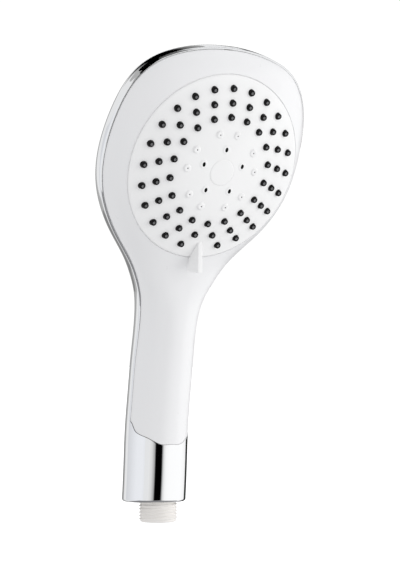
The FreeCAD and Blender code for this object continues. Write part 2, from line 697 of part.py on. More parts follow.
# ================================================================ turning spray face
def turning_face():
    # Face frame: z outwards along the head's axis from the level of the outer nozzle ring.
    cell("plate_under", 147.5)        # radius of the plate's underside
    cell("mat_top", 147.4)
    cell("mat_under", 146.2)
    cell("cup_rad", 8.6)
    cell("cap_hole", 6.9)
    cell("journal_hole", 5.06)
    cell("rim_low", -9.4)
    FAR = (0.0, num("dome_apex") - num("dome_rad"))

    plate = new_body("face_plate", FACE)
    pu = num("plate_under")
    turned(plate, "plate_turn", [
        ("cap_hole", 2.4), ("cap_hole", dome(num("cap_hole"))), (50.2, dome(50.2)), ("disc_rad", -2.6),
        ("disc_rad", "rim_low"), (49.1, "rim_low"), (49.1, bow(pu, 49.1)), ("cup_rad", bow(pu, 8.6)),
        ("cup_rad", 0.2), ("journal_hole", 0.2), ("journal_hole", 2.4)],
        {1: ("dome_rad", FAR), 6: ("plate_under", FAR)})


    lofted(plate, "tab_root", [slice_of(plate, "tab_root_in", 41.0, -0.3, 1.05, 0.35, 0.2),
                               slice_of(plate, "tab_root_out", 50.75, -3.0, 5.33, 2.1, 1.25)])
    lofted(plate, "tab_tip", [slice_of(plate, "tab_tip_in", 50.75, -1.7, 5.33, 1.95, 1.25),
                              slice_of(plate, "tab_tip_out", 57.6, 0.3, 7.2, 3.0, 1.5)])

    # nubs: ten for mist, five jets; each nub stands on the dome and carries a fine hole
    cell("mist_nub", 1.75)
    cell("jet_nub", 2.3)
    cell("mist_spread", 15.0)
    mist_at = [at(num("ring_mist"), 15.0), at(num("ring_mist"), -15.0)]
    jet_at = at(num("ring_jet"), 0.0)
    post_at = at(num("ring_mist"), 0.0)
    feats = [raised(plate, "mist_nubs", lambda sk: rounds(sk, [(x, y, "mist_nub") for x, y in mist_at]), 3.6, 6.1)]
    feats.append(raised(plate, "mist_socket", lambda sk: rounds(sk, [(x, y, 2.45) for x, y in mist_at]), 1.0, 3.8))
    feats.append(raised(plate, "jet_nubs", lambda sk: rounds(sk, [(jet_at[0], jet_at[1], "jet_nub")]), 4.2, 7.0))
    feats.append(raised(plate, "posts", lambda sk: rounds(sk, [(post_at[0], post_at[1], 2.4)]), -9.15, 3.6))
    feats.append(raised(plate, "socket_bore", lambda sk: rounds(sk, [(x, y, 2.0) for x, y in mist_at]), 0.9, 3.2, cut=True))
    feats.append(raised(plate, "mist_hole", lambda sk: rounds(sk, [(x, y, 0.45) for x, y in mist_at]), 3.0, 6.5, cut=True))
    feats.append(raised(plate, "jet_hole", lambda sk: rounds(sk, [(jet_at[0], jet_at[1], 0.9)]), 3.0, 7.5, cut=True))
    feats.append(raised(plate, "post_pilot", lambda sk: rounds(sk, [(post_at[0], post_at[1], 0.9)]), -9.5, 0.5, cut=True))
    around(plate, "five_ways", feats, 5)

    # nozzle holes: outer ring leaves out the place of the tab
    cell("nozzle_hole", 1.75)
    cell("outer_pitch", 15.0)
    for nm, rad, pos, count, span in (("outer", num("ring_out"), at(num("ring_out"), 165.0), 23, 330.0),
                                      ("middle", num("ring_mid"), at(num("ring_mid"), 0.0), 21, 360.0),
                                      ("inner", num("ring_in"), at(num("ring_in"), 0.0), 18, 360.0)):
        h = raised(plate, nm + "_holes", lambda sk: rounds(sk, [(pos[0], pos[1], "nozzle_hole")]), -6.0, 9.0, cut=True)
        around(plate, nm + "_hole_ring", h, count, span)

    # silicone mat with its three rings of nozzles
    mat = new_body("nozzle_mat", FACE)
    mt, mu = num("mat_top"), num("mat_under")
    turned(mat, "mat_turn", [(26.2, bow(mt, 26.2)), (48.0, bow(mt, 48.0)), (48.0, bow(mu, 48.0)), (26.2, bow(mu, 26.2))],
           {0: ("mat_top", FAR), 2: ("mat_under", FAR)})
    cell("nozzle_base", 1.7)
    cell("nozzle_tip", 1.45)
    cell("nozzle_stand", 1.5)
    cell("nozzle_bore", 0.5)
    for nm, ring, pos, count, span in (("outer", "ring_out", at(num("ring_out"), 165.0), 23, 330.0),
                                       ("middle", "ring_mid", at(num("ring_mid"), 0.0), 21, 360.0),
                                       ("inner", "ring_in", at(num("ring_in"), 0.0), 18, 360.0)):
        base = dome(num(ring)) - 2.8
        tip = dome(num(ring)) + num("nozzle_stand")
        cone = primitive(mat, "AdditiveCone", nm + "_nozzle", (pos[0], pos[1], base),
                         {"Radius1": "nozzle_base", "Radius2": "nozzle_tip", "Height": tip - base})
        bore = primitive(mat, "SubtractiveCylinder", nm + "_bore", (pos[0], pos[1], base - 1.0),
                         {"Radius": "nozzle_bore", "Height": tip - base + 2.0})
        around(mat, nm + "_ring", [cone, bore], count, span)

    # water chamber behind the face: ring walls part it into jet, mist and rain zones
    chamber = new_body("chamber_plate", FACE)
    turned(chamber, "chamber_turn", [
        (7.06, -11.2), (48.6, -11.2), (48.6, -7.9), (47.6, -7.9), (47.6, -6.3), (48.6, -6.3), (48.6, -5.1), (46.4, -5.1), (46.4, -9.2),
        (25.4, -9.2), (25.4, 2.15), (23.8, 2.15), (23.8, -9.2), (18.4, -9.2), (18.4, 3.25), (16.9, 3.25), (16.9, -9.2),
        ("cup_rad", -9.2), ("cup_rad", 0.1), (7.06, 0.1)])
    ports = [at(13.0, 140), at(21.1, 180), at(28.9, 220)]
    raised(chamber, "ports", lambda sk: rounds(sk, [(x, y, 2.2) for x, y in ports]), -12.0, -8.0, cut=True)
    raised(chamber, "notches", lambda sk: rounds(sk, [(at(43.5, a)[0], at(43.5, a)[1], 1.6) for a in (50, 90, 130)]), -11.5, -10.3, cut=True)
    raised(chamber, "stop_lug", lambda sk: outline(sk, box_outline(-2.5, 2.5, 38.4, 41.6)), -13.2, -10.5)
    hole_feat = raised(chamber, "screw_holes", lambda sk: rounds(sk, [(post_at[0], post_at[1], 1.1)]), -12.0, -8.0, cut=True)
    sink_feat = raised(chamber, "screw_sinks", lambda sk: rounds(sk, [(post_at[0], post_at[1], 2.1)]), -11.6, -10.1, cut=True)
    around(chamber, "screw_ring", [hole_feat, sink_feat], 5)


    ring_seal("chamber_o_ring", 48.33, 0.7, -7.1)

    # five screws from behind through the chamber's floor into the plate's posts
    cs = new_body("chamber_screws", FACE)
    ring_r = num("ring_mist")
    scr = turned(cs, "chamber_screw", [(0.0, -11.15), (1.9, -11.15), (1.9, -10.15), (0.88, -10.15), (0.88, -0.4), (0.0, 0.3)], None, plane="YZ_Plane", shift="ring_mist")
    slot = raised(cs, "chamber_slot", lambda sk: outline(sk, box_outline(-1.3, 1.3, ring_r - 0.25, ring_r + 0.25)), -11.6, -10.8, cut=True)
    around(cs, "chamber_screw_ring", [scr, slot], 5)

    # swirl inserts under the mist nubs
    mi = new_body("mist_inserts", FACE)
    ins = raised(mi, "mist_disc", lambda sk: rounds(sk, [(x, y, 1.95) for x, y in mist_at]), 1.1, 2.9)
    cut1 = raised(mi, "mist_way", lambda sk: rounds(sk, [(x, y, 0.6) for x, y in mist_at]), 0.5, 3.0, cut=True)
    cut2 = raised(mi, "mist_swirl", lambda sk: [outline(sk, box_outline(x - 0.25, x + 2.2, y - 0.9, y - 0.4)) for x, y in mist_at], 2.3, 3.2, cut=True)
    around(mi, "mist_ring", [ins, cut1, cut2], 5)

    # massage turbine: hub, twelve vanes and a half shutter
    tb = new_body("turbine", FACE)
    turned(tb, "turbine_hub", [(8.68, -2.6), (9.9, -2.6), (9.9, 2.4), (8.68, 2.4)])
    vane = raised(tb, "vane", lambda sk: outline(sk, box_outline(-0.4, 0.4, 9.6, 15.6)), -2.6, 1.5)
    around(tb, "vanes", vane, 12)
    raised(tb, "shutter", lambda sk: outline(sk, [(-15.4, 0.0), (-9.3, 0.0), (0.0, 9.3), (9.3, 0.0), (15.4, 0.0), (0.0, 15.4)], {1: (9.3, (0, 0)), 2: (9.3, (0, 0)), 4: (15.4, (0, 0)), 5: (15.4, (0, 0))}), 1.4, 2.4)

    # guide disc with slanted slots that turns the water on to the vanes
    tg = new_body("turbine_guide", FACE)
    turned(tg, "guide_turn", [(9.0, -5.0), (15.4, -5.0), (15.4, -9.1), (16.7, -9.1), (16.7, -3.6), (9.0, -3.6)])
    gs = raised(tg, "guide_slot", lambda sk: outline(sk, [(-0.6, 10.2), (0.9, 10.2), (2.4, 14.6), (0.9, 14.6)]), -5.5, -3.0, cut=True)
    around(tg, "guide_slots", gs, 8)

    # cap in the middle of the face
    cap = new_body("centre_cap", FACE)
    turned(cap, "cap_turn", [(0.0, 4.9), (6.85, 4.9), (6.85, dome(6.85)), (0.3, dome(0.3)), (0.0, dome(0.3))], {2: ("dome_rad", FAR)})


# ================================================================ fixed waterway in the head
def fixed_head():
    div = new_body("diverter_body", FACE)
    turned(div, "diverter_turn", [
        (2.0, 2.5), (5.0, 2.5), (5.0, 0.1), (7.0, 0.1), (7.0, -3.2), (5.75, -3.2), (5.75, -4.8), (7.0, -4.8), (7.0, -12.2),
        (53.0, -12.2), (53.0, -14.6), (9.0, -14.6), (9.0, -16.5), (0.0, -16.5), (0.0, -9.6), (2.0, -9.6)])
    ear_at = at(num("boss_ring"), 45.0)
    ear = raised(div, "ear", lambda sk: rounds(sk, [(ear_at[0], ear_at[1], 3.4)]), -14.6, -12.2)
    ear_hole = raised(div, "ear_hole", lambda sk: rounds(sk, [(ear_at[0], ear_at[1], 1.4)]), -15.0, -12.0, cut=True)
    around(div, "ears", [ear, ear_hole], 4)
    sl0, sl1 = at(38.0, -44.2), at(42.0, -44.2)
    sr0, sr1 = at(38.0, 44.2), at(42.0, 44.2)
    raised(div, "stop_slot", lambda sk: outline(sk, [sl0, sr0, sr1, sl1], {0: (38.0, (0, 0)), 2: (42.0, (0, 0))}), -13.5, -12.0, cut=True)
    raised(div, "water_boss", lambda sk: outline(sk, box_outline(-6.5, 6.5, -36.0, -8.0)), -21.5, -14.5)
    raised(div, "inlet_socket", lambda sk: rounds(sk, [(0.0, -22.5, 9.0)]), 30.0, 46.0, plane="XZ_Plane")
    raised(div, "seal_pocket", lambda sk: oblong(sk, 4.25, -13.7, -28.4), -15.1, -12.0, cut=True)
    raised(div, "spring_pockets", lambda sk: rounds(sk, [(0.0, -13.7, 2.6), (0.0, -28.4, 2.6)]), -19.0, -15.0, cut=True)
    raised(div, "water_window", lambda sk: outline(sk, box_outline(-2.4, 2.4, -26.0, -17.0)), -18.5, -15.0, cut=True)


    along_y(div, "socket_bore", 0.0, -22.5, 7.6, -46.5, -32.8)
    along_y(div, "water_duct", 0.0, -18.2, 2.9, -33.5, -16.0)

    ring_seal("hub_o_ring", 6.38, 0.6, -4.0)

    seal = new_body("diverter_seal", FACE)
    raised(seal, "seal_ring", lambda sk: (oblong(sk, 4.15, -13.7, -28.4), oblong(sk, 2.3, -13.7, -28.4)), -14.0, -11.25)
    carrier = new_body("seal_carrier", FACE)
    raised(carrier, "carrier_plate", lambda sk: oblong(sk, 4.15, -13.7, -28.4), -15.05, -14.05)
    raised(carrier, "carrier_ways", lambda sk: rounds(sk, [(0.0, -18.2, 1.7), (0.0, -21.5, 1.7), (0.0, -24.8, 1.7)]), -15.5, -14.0, cut=True)

    # two compression springs behind the carrier
    cell("spring_mean", 2.0)
    cell("spring_wire", 0.25)
    cell("spring_low", -18.7)
    cell("spring_tall", 3.3)
    cell("spring_pitch", 0.9)


    if not PLANNING[0]:
        springs = feature("seal_springs", Part.makeCompound([coil(0, -13.7), coil(0, -28.4)]))
        springs.Placement = FACE
        MADE.append(springs)

    # leaf spring that drops into the chamber's notches
    leaf = new_body("detent_leaf", FACE)
    raised(leaf, "leaf_strip", lambda sk: outline(sk, box_outline(42.0, 45.0, -8.0, 8.0)), -12.15, -11.85)
    turned(leaf, "leaf_nose", [(0.0, -12.0), (1.3, -12.0), (1.3, -11.4), (0.6, -10.6), (0.0, -10.6)], None, plane="XZ_Plane", shift=43.5)

    # screws from the diverter's ears up into the cover's bosses
    cv = new_body("cover_screws", FACE.multiply(FreeCAD.Placement(V(0, 0, 0), FreeCAD.Rotation(V(0, 0, 1), 45))))
    r_ear = num("boss_ring")
    c1 = turned(cv, "cover_screw", [(0.0, -16.2), (2.6, -16.2), (2.6, -14.65), (1.25, -14.65), (1.25, -9.2), (0.0, -8.5)], None, plane="YZ_Plane", shift="boss_ring")
    c2 = raised(cv, "cover_slot", lambda sk: outline(sk, box_outline(-1.8, 1.8, r_ear - 0.3, r_ear + 0.3)), -16.3, -15.6, cut=True)
    around(cv, "cover_screw_ring", [c1, c2], 4)

    scw = new_body("centre_screw", FACE)
    turned(scw, "centre_screw_turn", [(0.0, 4.7), (3.6, 4.7), (3.6, 3.15), (1.95, 3.15), (1.95, -8.6), (0.0, -9.3)])
    raised(scw, "centre_slot", lambda sk: outline(sk, box_outline(-2.6, 2.6, -0.4, 0.4)), 3.9, 5.0, cut=True)
    raised(scw, "centre_cross", lambda sk: outline(sk, box_outline(-0.4, 0.4, -2.6, 2.6)), 3.9, 5.0, cut=True)
    wsh = new_body("centre_washer", FACE)
    turned(wsh, "washer_turn", [(2.1, 2.52), (6.3, 2.52), (6.3, 3.1), (2.1, 3.1)])


# ================================================================ handle: waterway and inlet
def handle():
    tube = new_body("waterway_tube")
    cell("tube_out", 7.5)
    cell("tube_in", 5.5)
    cell("bend_low", 120.0)
    cell("bend_high", 90.0)
    PATH = [(0.0, 26.0), (0.0, 62.0), (-7.96, 127.48), (-25.83, 168.78)]
    path = new_sketch(tube, "tube_path", "YZ_Plane")
    bends(path, PATH, [num("bend_low"), num("bend_high")])
    for nm, alias, kind in (("tube_body", "tube_out", "AdditivePipe"), ("tube_bore", "tube_in", "SubtractivePipe")):
        ring = new_sketch(tube, nm + "_ring", "XY_Plane", 26.0)
        rounds(ring, [(0.0, 0.0, alias)])
        if not PLANNING[0]:
            p = tube.newObject("PartDesign::" + kind, nm)
            p.Profile = ring
            p.Spine = (path, [""])
            settle(tube, nm, kind == "AdditivePipe")
    turned(tube, "tube_socket", [(7.6, 20.0), (9.3, 20.0), (9.3, 34.0), (6.4, 34.0), (6.4, 32.4), (7.6, 32.4)])
    raised(tube, "socket_clear", lambda sk: rounds(sk, [(0.0, 0.0, 7.6)]), 19.0, 32.4, cut=True)

    # o-ring grooves and rings: one on the tube's upper end, one on the inlet's spigot
    UP = FACE.multVec(V(0, -38.0, -22.5))
    cell("groove_mean", 7.35)
    cell("groove_wire", 0.75)
    cell("seal_mean", 7.06)
    cell("seal_wire", 0.45)
    primitive(tube, "SubtractiveTorus", "upper_groove", UP, {"Radius1": "groove_mean", "Radius2": "groove_wire"}, num("tilt_deg"))

    tor = new_body("tube_o_rings")
    primitive(tor, "AdditiveTorus", "upper_ring", UP, {"Radius1": "seal_mean", "Radius2": "seal_wire"}, num("tilt_deg"))
    primitive(tor, "AdditiveTorus", "lower_ring", (0, 0, 27.0), {"Radius1": "seal_mean", "Radius2": "seal_wire"})

    inlet = new_body("inlet_connector")
    prof = [("seat_bore", 0.0), (8.9, 0.0), ("thread_root", 0.42)]
    for k in range(6):
        c = 1.9 + k * num("thread_pitch")
        prof += [("thread_root", c - 0.755), ("thread_r", c - 0.15), ("thread_r", c + 0.15), ("thread_root", c + 0.755)]
    prof += [("thread_root", 14.5), (7.5, 14.5), (7.5, 32.0),
             (5.2, 32.0), (5.2, 13.9), (6.5, 13.9), (6.5, 9.5), ("seat_bore", 9.5)]
    turned(inlet, "inlet_turn", prof)
    primitive(inlet, "SubtractiveTorus", "spigot_groove", (0, 0, 27.0), {"Radius1": "groove_mean", "Radius2": "groove_wire"})
    raised(inlet, "flange", lambda sk: rounds(sk, [(0.0, 5.2, 14.8)]), 14.5, 17.5)
    raised(inlet, "flange_bore", lambda sk: rounds(sk, [(0.0, 0.0, 5.2)]), 14.0, 18.0, cut=True)

    strain = new_body("inlet_strainer")
    raised(strain, "strainer_disc", lambda sk: rounds(sk, [(0.0, 0.0, 6.45)]), 9.6, 10.5)
    raised(strain, "strainer_centre", lambda sk: rounds(sk, [(0.0, 0.0, 0.35)]), 9.0, 11.0, cut=True)
    for k, (rr, cnt) in enumerate(((1.5, 6), (2.9, 12), (4.3, 18), (5.5, 24))):
        hh = raised(strain, "mesh_hole_" + chr(97 + k), lambda sk: rounds(sk, [(0.0, rr, 0.35)]), 9.0, 11.0, cut=True)
        around(strain, "mesh_ring_" + chr(97 + k), hh, cnt)
    reg = new_body("flow_regulator")
    turned(reg, "regulator_turn", [(1.6, 10.6), (6.4, 10.6), (6.4, 13.85), (4.6, 13.85), (4.6, 12.6), (1.6, 12.6)])
    rh = raised(reg, "regulator_port", lambda sk: rounds(sk, [(0.0, 3.3, 0.6)]), 10.0, 13.0, cut=True)
    around(reg, "regulator_ports", rh, 6)


for PLANNING[0] in (True, False):
    COUNT[0] = 0
    turning_face()
    fixed_head()
    handle()
    doc.recompute()

# ================================================================ checks and files
doc.recompute()
for o in doc.Objects:
    bad = [x for x in o.State if x in ("Invalid", "Error")]
    if bad:
        raise RuntimeError("%s is %s" % (o.Label, bad))
for o in MADE:
    s = o.Shape
    if s.isNull() or not s.isValid() or not s.Solids:
        raise RuntimeError("%s has no sound shape" % o.Label)
for o in MADE:
    o.Shape.exportStep("parts/%s.step" % o.Label)
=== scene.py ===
import bpy
import math
import numpy as np
from mathutils import Matrix, Vector


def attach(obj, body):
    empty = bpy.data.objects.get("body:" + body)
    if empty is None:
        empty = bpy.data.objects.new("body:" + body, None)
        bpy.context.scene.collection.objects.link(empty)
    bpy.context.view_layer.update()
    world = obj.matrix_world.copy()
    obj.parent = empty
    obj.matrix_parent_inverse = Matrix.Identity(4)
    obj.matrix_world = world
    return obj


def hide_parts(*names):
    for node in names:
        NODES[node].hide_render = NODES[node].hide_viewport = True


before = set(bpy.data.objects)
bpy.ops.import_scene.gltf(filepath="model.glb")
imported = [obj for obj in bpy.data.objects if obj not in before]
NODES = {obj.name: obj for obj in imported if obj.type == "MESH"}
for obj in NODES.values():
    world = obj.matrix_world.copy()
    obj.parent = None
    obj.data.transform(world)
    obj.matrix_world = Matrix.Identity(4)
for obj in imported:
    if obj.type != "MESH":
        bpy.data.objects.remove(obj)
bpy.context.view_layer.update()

MM = 0.001

# ------------------------------------------------------------------ body surface (millimetres)
# y, z of the parting chord, tilt of the section, half width, front height, back depth,
# front exponents (width, height), back exponent
STATIONS = np.array([
    (3.98, 12.0, 0, 17.6, 16.2, 19.0, 2, 2, 2),
    (2.5, 30.0, 3, 17.55, 16.15, 18.95, 2, 2, 2),
    (1.1, 50.0, 6, 17.5, 16.1, 18.9, 2, 2, 2),
    (-1.75, 70.0, 9, 17.45, 16.05, 18.85, 2, 2, 2),
    (-5.0, 90.0, 12, 17.4, 16.0, 18.8, 2, 2, 2.0),
    (-9.3, 110.0, 15, 17.45, 15.6, 18.9, 2, 2, 2.1),
    (-13.91, 123.6, 18, 20.12, 13.6, 18.9, 2.1, 1.87, 2.4),
    (-17.88, 131.77, 19.5, 24.34, 11.7, 20.0, 2.4, 1.65, 2.65),
    (-21.07, 139.55, 20.9, 29.34, 10.9, 20.8, 2.9, 1.45, 2.85),
    (-24.38, 147.49, 21.9, 36.05, 12.0, 21.2, 3.4, 1.33, 3.0),
    (-28.45, 155.87, 22.75, 43.85, 14.78, 21.3, 3.7, 1.3, 3.1),
    (-33.27, 165.55, 23.4, 51.33, 17.7, 20.9, 3.9, 1.3, 3.2),
    (-38.38, 177.37, 23.4, 57.4, 19.7, 20.4, 4.08, 1.3, 3.2),
    (-43.94, 190.1, 23.4, 60.51, 20.75, 20.0, 4.05, 1.3, 3.2),
    (-50.07, 202.89, 23.4, 60.97, 20.25, 19.3, 3.65, 1.3, 3.2),
    (-56.3, 215.52, 23.4, 59.32, 18.11, 18.5, 3.0, 1.3, 3.2),
    (-61.6, 227.07, 23.4, 55.64, 15.37, 17.9, 2.55, 1.3, 3.2),
    (-66.0, 236.78, 23.4, 49.48, 12.0, 16.9, 2.4, 1.3, 3.2),
    (-69.22, 243.67, 23.4, 41.04, 8.4, 14.7, 2.38, 1.3, 3.2),
    (-70.95, 247.8, 23.4, 31.83, 5.46, 12.1, 2.38, 1.3, 3.2),
    (-71.78, 250.24, 23.4, 23.05, 3.38, 9.95, 2.38, 1.3, 3.2),
    (-72.37, 251.65, 23.4, 15.1, 1.95, 7.79, 2.38, 1.3, 3.2),
    (-72.93, 252.31, 23.4, 8.07, 0.95, 5.46, 2.38, 1.3, 3.2),
    (-73.22, 252.54, 23.4, 2.51, 0.4, 3.08, 2.38, 1.3, 3.2),
], float)
LIP = 1.2
TONGUE = np.array([(0.0, 43.0), (6.0, 43.05), (8.0, 43.8), (10.7, 45.4), (13.6, 47.2), (15.4, 48.3), (16.4, 49.4), (17.0, 51.3), (17.35, 54.0), (17.9, 60.5)])
BETA = math.radians(23.4)
C = np.array([0.0, -59.58, 190.14])
N = np.array([0.0, -math.cos(BETA), -math.sin(BETA)])
U = np.array([0.0, -math.sin(BETA), math.cos(BETA)])
X = np.array([1.0, 0.0, 0.0])
DOME_R, APEX, DISC = 149.7, 6.674, 50.9


def smooth(x):
    x = np.clip(x, 0, 1)
    return x * x * (3 - 2 * x)


class Spline:
    """Natural cubic spline through rows of values."""

    def __init__(self, s, y):
        self.s, self.y = s, y
        n = len(s)
        h = np.diff(s)
        a = np.zeros((n, n))
        d = np.zeros((n,) + y.shape[1:])
        a[0, 0] = a[-1, -1] = 1.0
        for i in range(1, n - 1):
            a[i, i - 1], a[i, i], a[i, i + 1] = h[i - 1], 2 * (h[i - 1] + h[i]), h[i]
            d[i] = 6 * ((y[i + 1] - y[i]) / h[i] - (y[i] - y[i - 1]) / h[i - 1])
        self.m = np.linalg.solve(a, d)
        self.h = h

    def __call__(self, t):
        t = np.asarray(t, float)
        i = np.clip(np.searchsorted(self.s, t, side="left") - 1, 0, len(self.s) - 2)
        h = self.h[i][..., None]
        u = (t - self.s[i])[..., None]
        w = (self.s[i + 1] - t)[..., None]
        m0, m1, y0, y1 = self.m[i], self.m[i + 1], self.y[i], self.y[i + 1]
        val = (m0 * w ** 3 + m1 * u ** 3) / (6 * h) + (y0 / h - m0 * h / 6) * w + (y1 / h - m1 * h / 6) * u
        slo = (-m0 * w ** 2 + m1 * u ** 2) / (2 * h) - (y0 / h - m0 * h / 6) + (y1 / h - m1 * h / 6)
        return val, slo


_d = np.diff(STATIONS, axis=0)
CHORD = np.concatenate([[0.0], np.cumsum(np.sqrt(_d[:, 0] ** 2 + _d[:, 1] ** 2 + _d[:, 3] ** 2))])
CURVE = Spline(CHORD, STATIONS)
TEND = CHORD[-1]


def skin(t, al, side=0.0, front=0.0, back=0.0, shift=0.0):
    """Point on the body at chord t and polar angle al (0 = +x parting, 90 = front, 270 = back)."""
    t, al = np.broadcast_arrays(np.asarray(t, float), np.asarray(al, float))
    v, s = CURVE(t)
    g = np.radians(v[..., 2])
    up = np.stack([-np.sin(g), np.cos(g)], -1)
    fr = np.stack([-np.cos(g), -np.sin(g)], -1)
    adv = s[..., 0] * up[..., 0] + s[..., 1] * up[..., 1]
    ln = np.hypot(adv, s[..., 3])
    nx, nu = adv / ln, -s[..., 3] / ln
    w = np.maximum(v[..., 3] - side * nx, 0.15)
    oy = v[..., 0] - side * nu * up[..., 0] - shift * fr[..., 0]
    oz = v[..., 1] - side * nu * up[..., 1] - shift * fr[..., 1]
    hf = np.maximum(v[..., 4] - front * nx, 0.1)
    hb = np.maximum(v[..., 5] - back * nx, 0.1)
    c, sn = np.cos(al), np.sin(al)
    fs = sn >= 0
    pw = np.where(fs, v[..., 6], v[..., 8])
    ph = np.where(fs, v[..., 7], v[..., 8])
    lo = np.full(t.shape, 0.5)
    hi = np.full(t.shape, 1.6)
    for _ in range(36):
        m = 0.5 * (lo + hi)
        f = np.abs(m * c) ** pw + np.abs(m * sn) ** ph
        lo = np.where(f < 1, m, lo)
        hi = np.where(f < 1, hi, m)
    r = 0.5 * (lo + hi)
    k = np.where(fs, hf, hb) * sn * r
    return np.stack([w * c * r, oy + k * fr[..., 0], oz + k * fr[..., 1]], -1)


def lip(t):
    """Width of the lip beside the cover: full round the head, fine along the handle."""
    return LIP * (0.22 + 0.78 * smooth((np.asarray(t, float) - 70.0) / 80.0))


def to_face(p):
    d = p - C
    return np.stack([d[..., 0], d @ U, d @ N], -1)


def from_face(q):
    q = np.asarray(q, float)
    return C + q[..., 0:1] * X + q[..., 1:2] * U + q[..., 2:3] * N


def dome(r):
    return APEX - (DOME_R - np.sqrt(DOME_R ** 2 - np.asarray(r, float) ** 2))


# ------------------------------------------------------------------ mesh helpers
class Build:
    """Collects grids and fans into one mesh, in millimetres."""

    def __init__(self):
        self.v, self.f, self.m = [], [], []
        self.n = 0

    def grid(self, p, wrap=False, flip=False, mat=0):
        """Grid of points (rows, columns, 3); wrap joins the last column to the first."""
        p = np.asarray(p, float)
        r, c = p.shape[:2]
        base = self.n
        self.v.append(p.reshape(-1, 3))
        self.n += r * c
        i, j = np.meshgrid(np.arange(r - 1), np.arange(c if wrap else c - 1), indexing="ij")
        i, j = i.ravel(), j.ravel()
        k = (j + 1) % c
        q = np.stack([i * c + j, i * c + k, (i + 1) * c + k, (i + 1) * c + j], 1) + base
        if flip:
            q = q[:, ::-1]
        self.f += q.tolist()
        self.m += [mat] * len(q)
        return base

    def fan(self, ring, centre, flip=False, mat=0):
        ring = np.asarray(ring, float)
        base = self.n
        self.v.append(np.vstack([ring, np.asarray(centre, float)[None]]))
        n = len(ring)
        self.n += n + 1
        for i in range(n):
            t = [base + i, base + (i + 1) % n, base + n]
            self.f.append(t[::-1] if flip else t)
            self.m.append(mat)

    def lathe(self, prof, place, steps=96, flip=False, mat=0, phase=0.0, close=False):
        """Profile [(radius, height)] turned about the local z axis; place maps local to row mm."""
        prof = np.asarray(prof, float)
        if close:
            prof = np.vstack([prof, prof[:1]])
        a = phase + np.linspace(0, 2 * math.pi, steps, endpoint=False)
        p = np.stack([prof[:, 0:1] * np.cos(a), prof[:, 0:1] * np.sin(a), np.repeat(prof[:, 1:2], steps, 1)], -1)
        self.grid(place(p), wrap=True, flip=flip, mat=mat)

    def done(self, name, mats, weld=1e-6, angle=35.0, turn=False, even=False):
        me = bpy.data.meshes.new(name)
        v = np.vstack(self.v) * MM
        me.from_pydata(v.tolist(), [], self.f)
        for m in mats:
            me.materials.append(m)
        me.polygons.foreach_set("material_index", self.m)
        me.polygons.foreach_set("use_smooth", [True] * len(me.polygons))
        o = bpy.data.objects.new(name, me)
        bpy.context.scene.collection.objects.link(o)
        import bmesh
        bm = bmesh.new()
        bm.from_mesh(me)
        bmesh.ops.remove_doubles(bm, verts=bm.verts, dist=weld)
        bmesh.ops.dissolve_degenerate(bm, dist=1e-9, edges=bm.edges)
        if even:
            bmesh.ops.recalc_face_normals(bm, faces=bm.faces)
        if turn:
            bmesh.ops.reverse_faces(bm, faces=bm.faces)
        bm.to_mesh(me)
        bm.free()
        me.set_sharp_from_angle(angle=math.radians(angle))
        me.update()
        return o


def on_face(p):
    return from_face(p)


def on_axis(p):
    return np.asarray(p, float)


def arc(cx, cz, r, a0, a1, n=6):
    """Points of an arc in a profile, angles in degrees."""
    a = np.radians(np.linspace(a0, a1, n))
    return [(cx + r * math.cos(x), cz + r * math.sin(x)) for x in a]


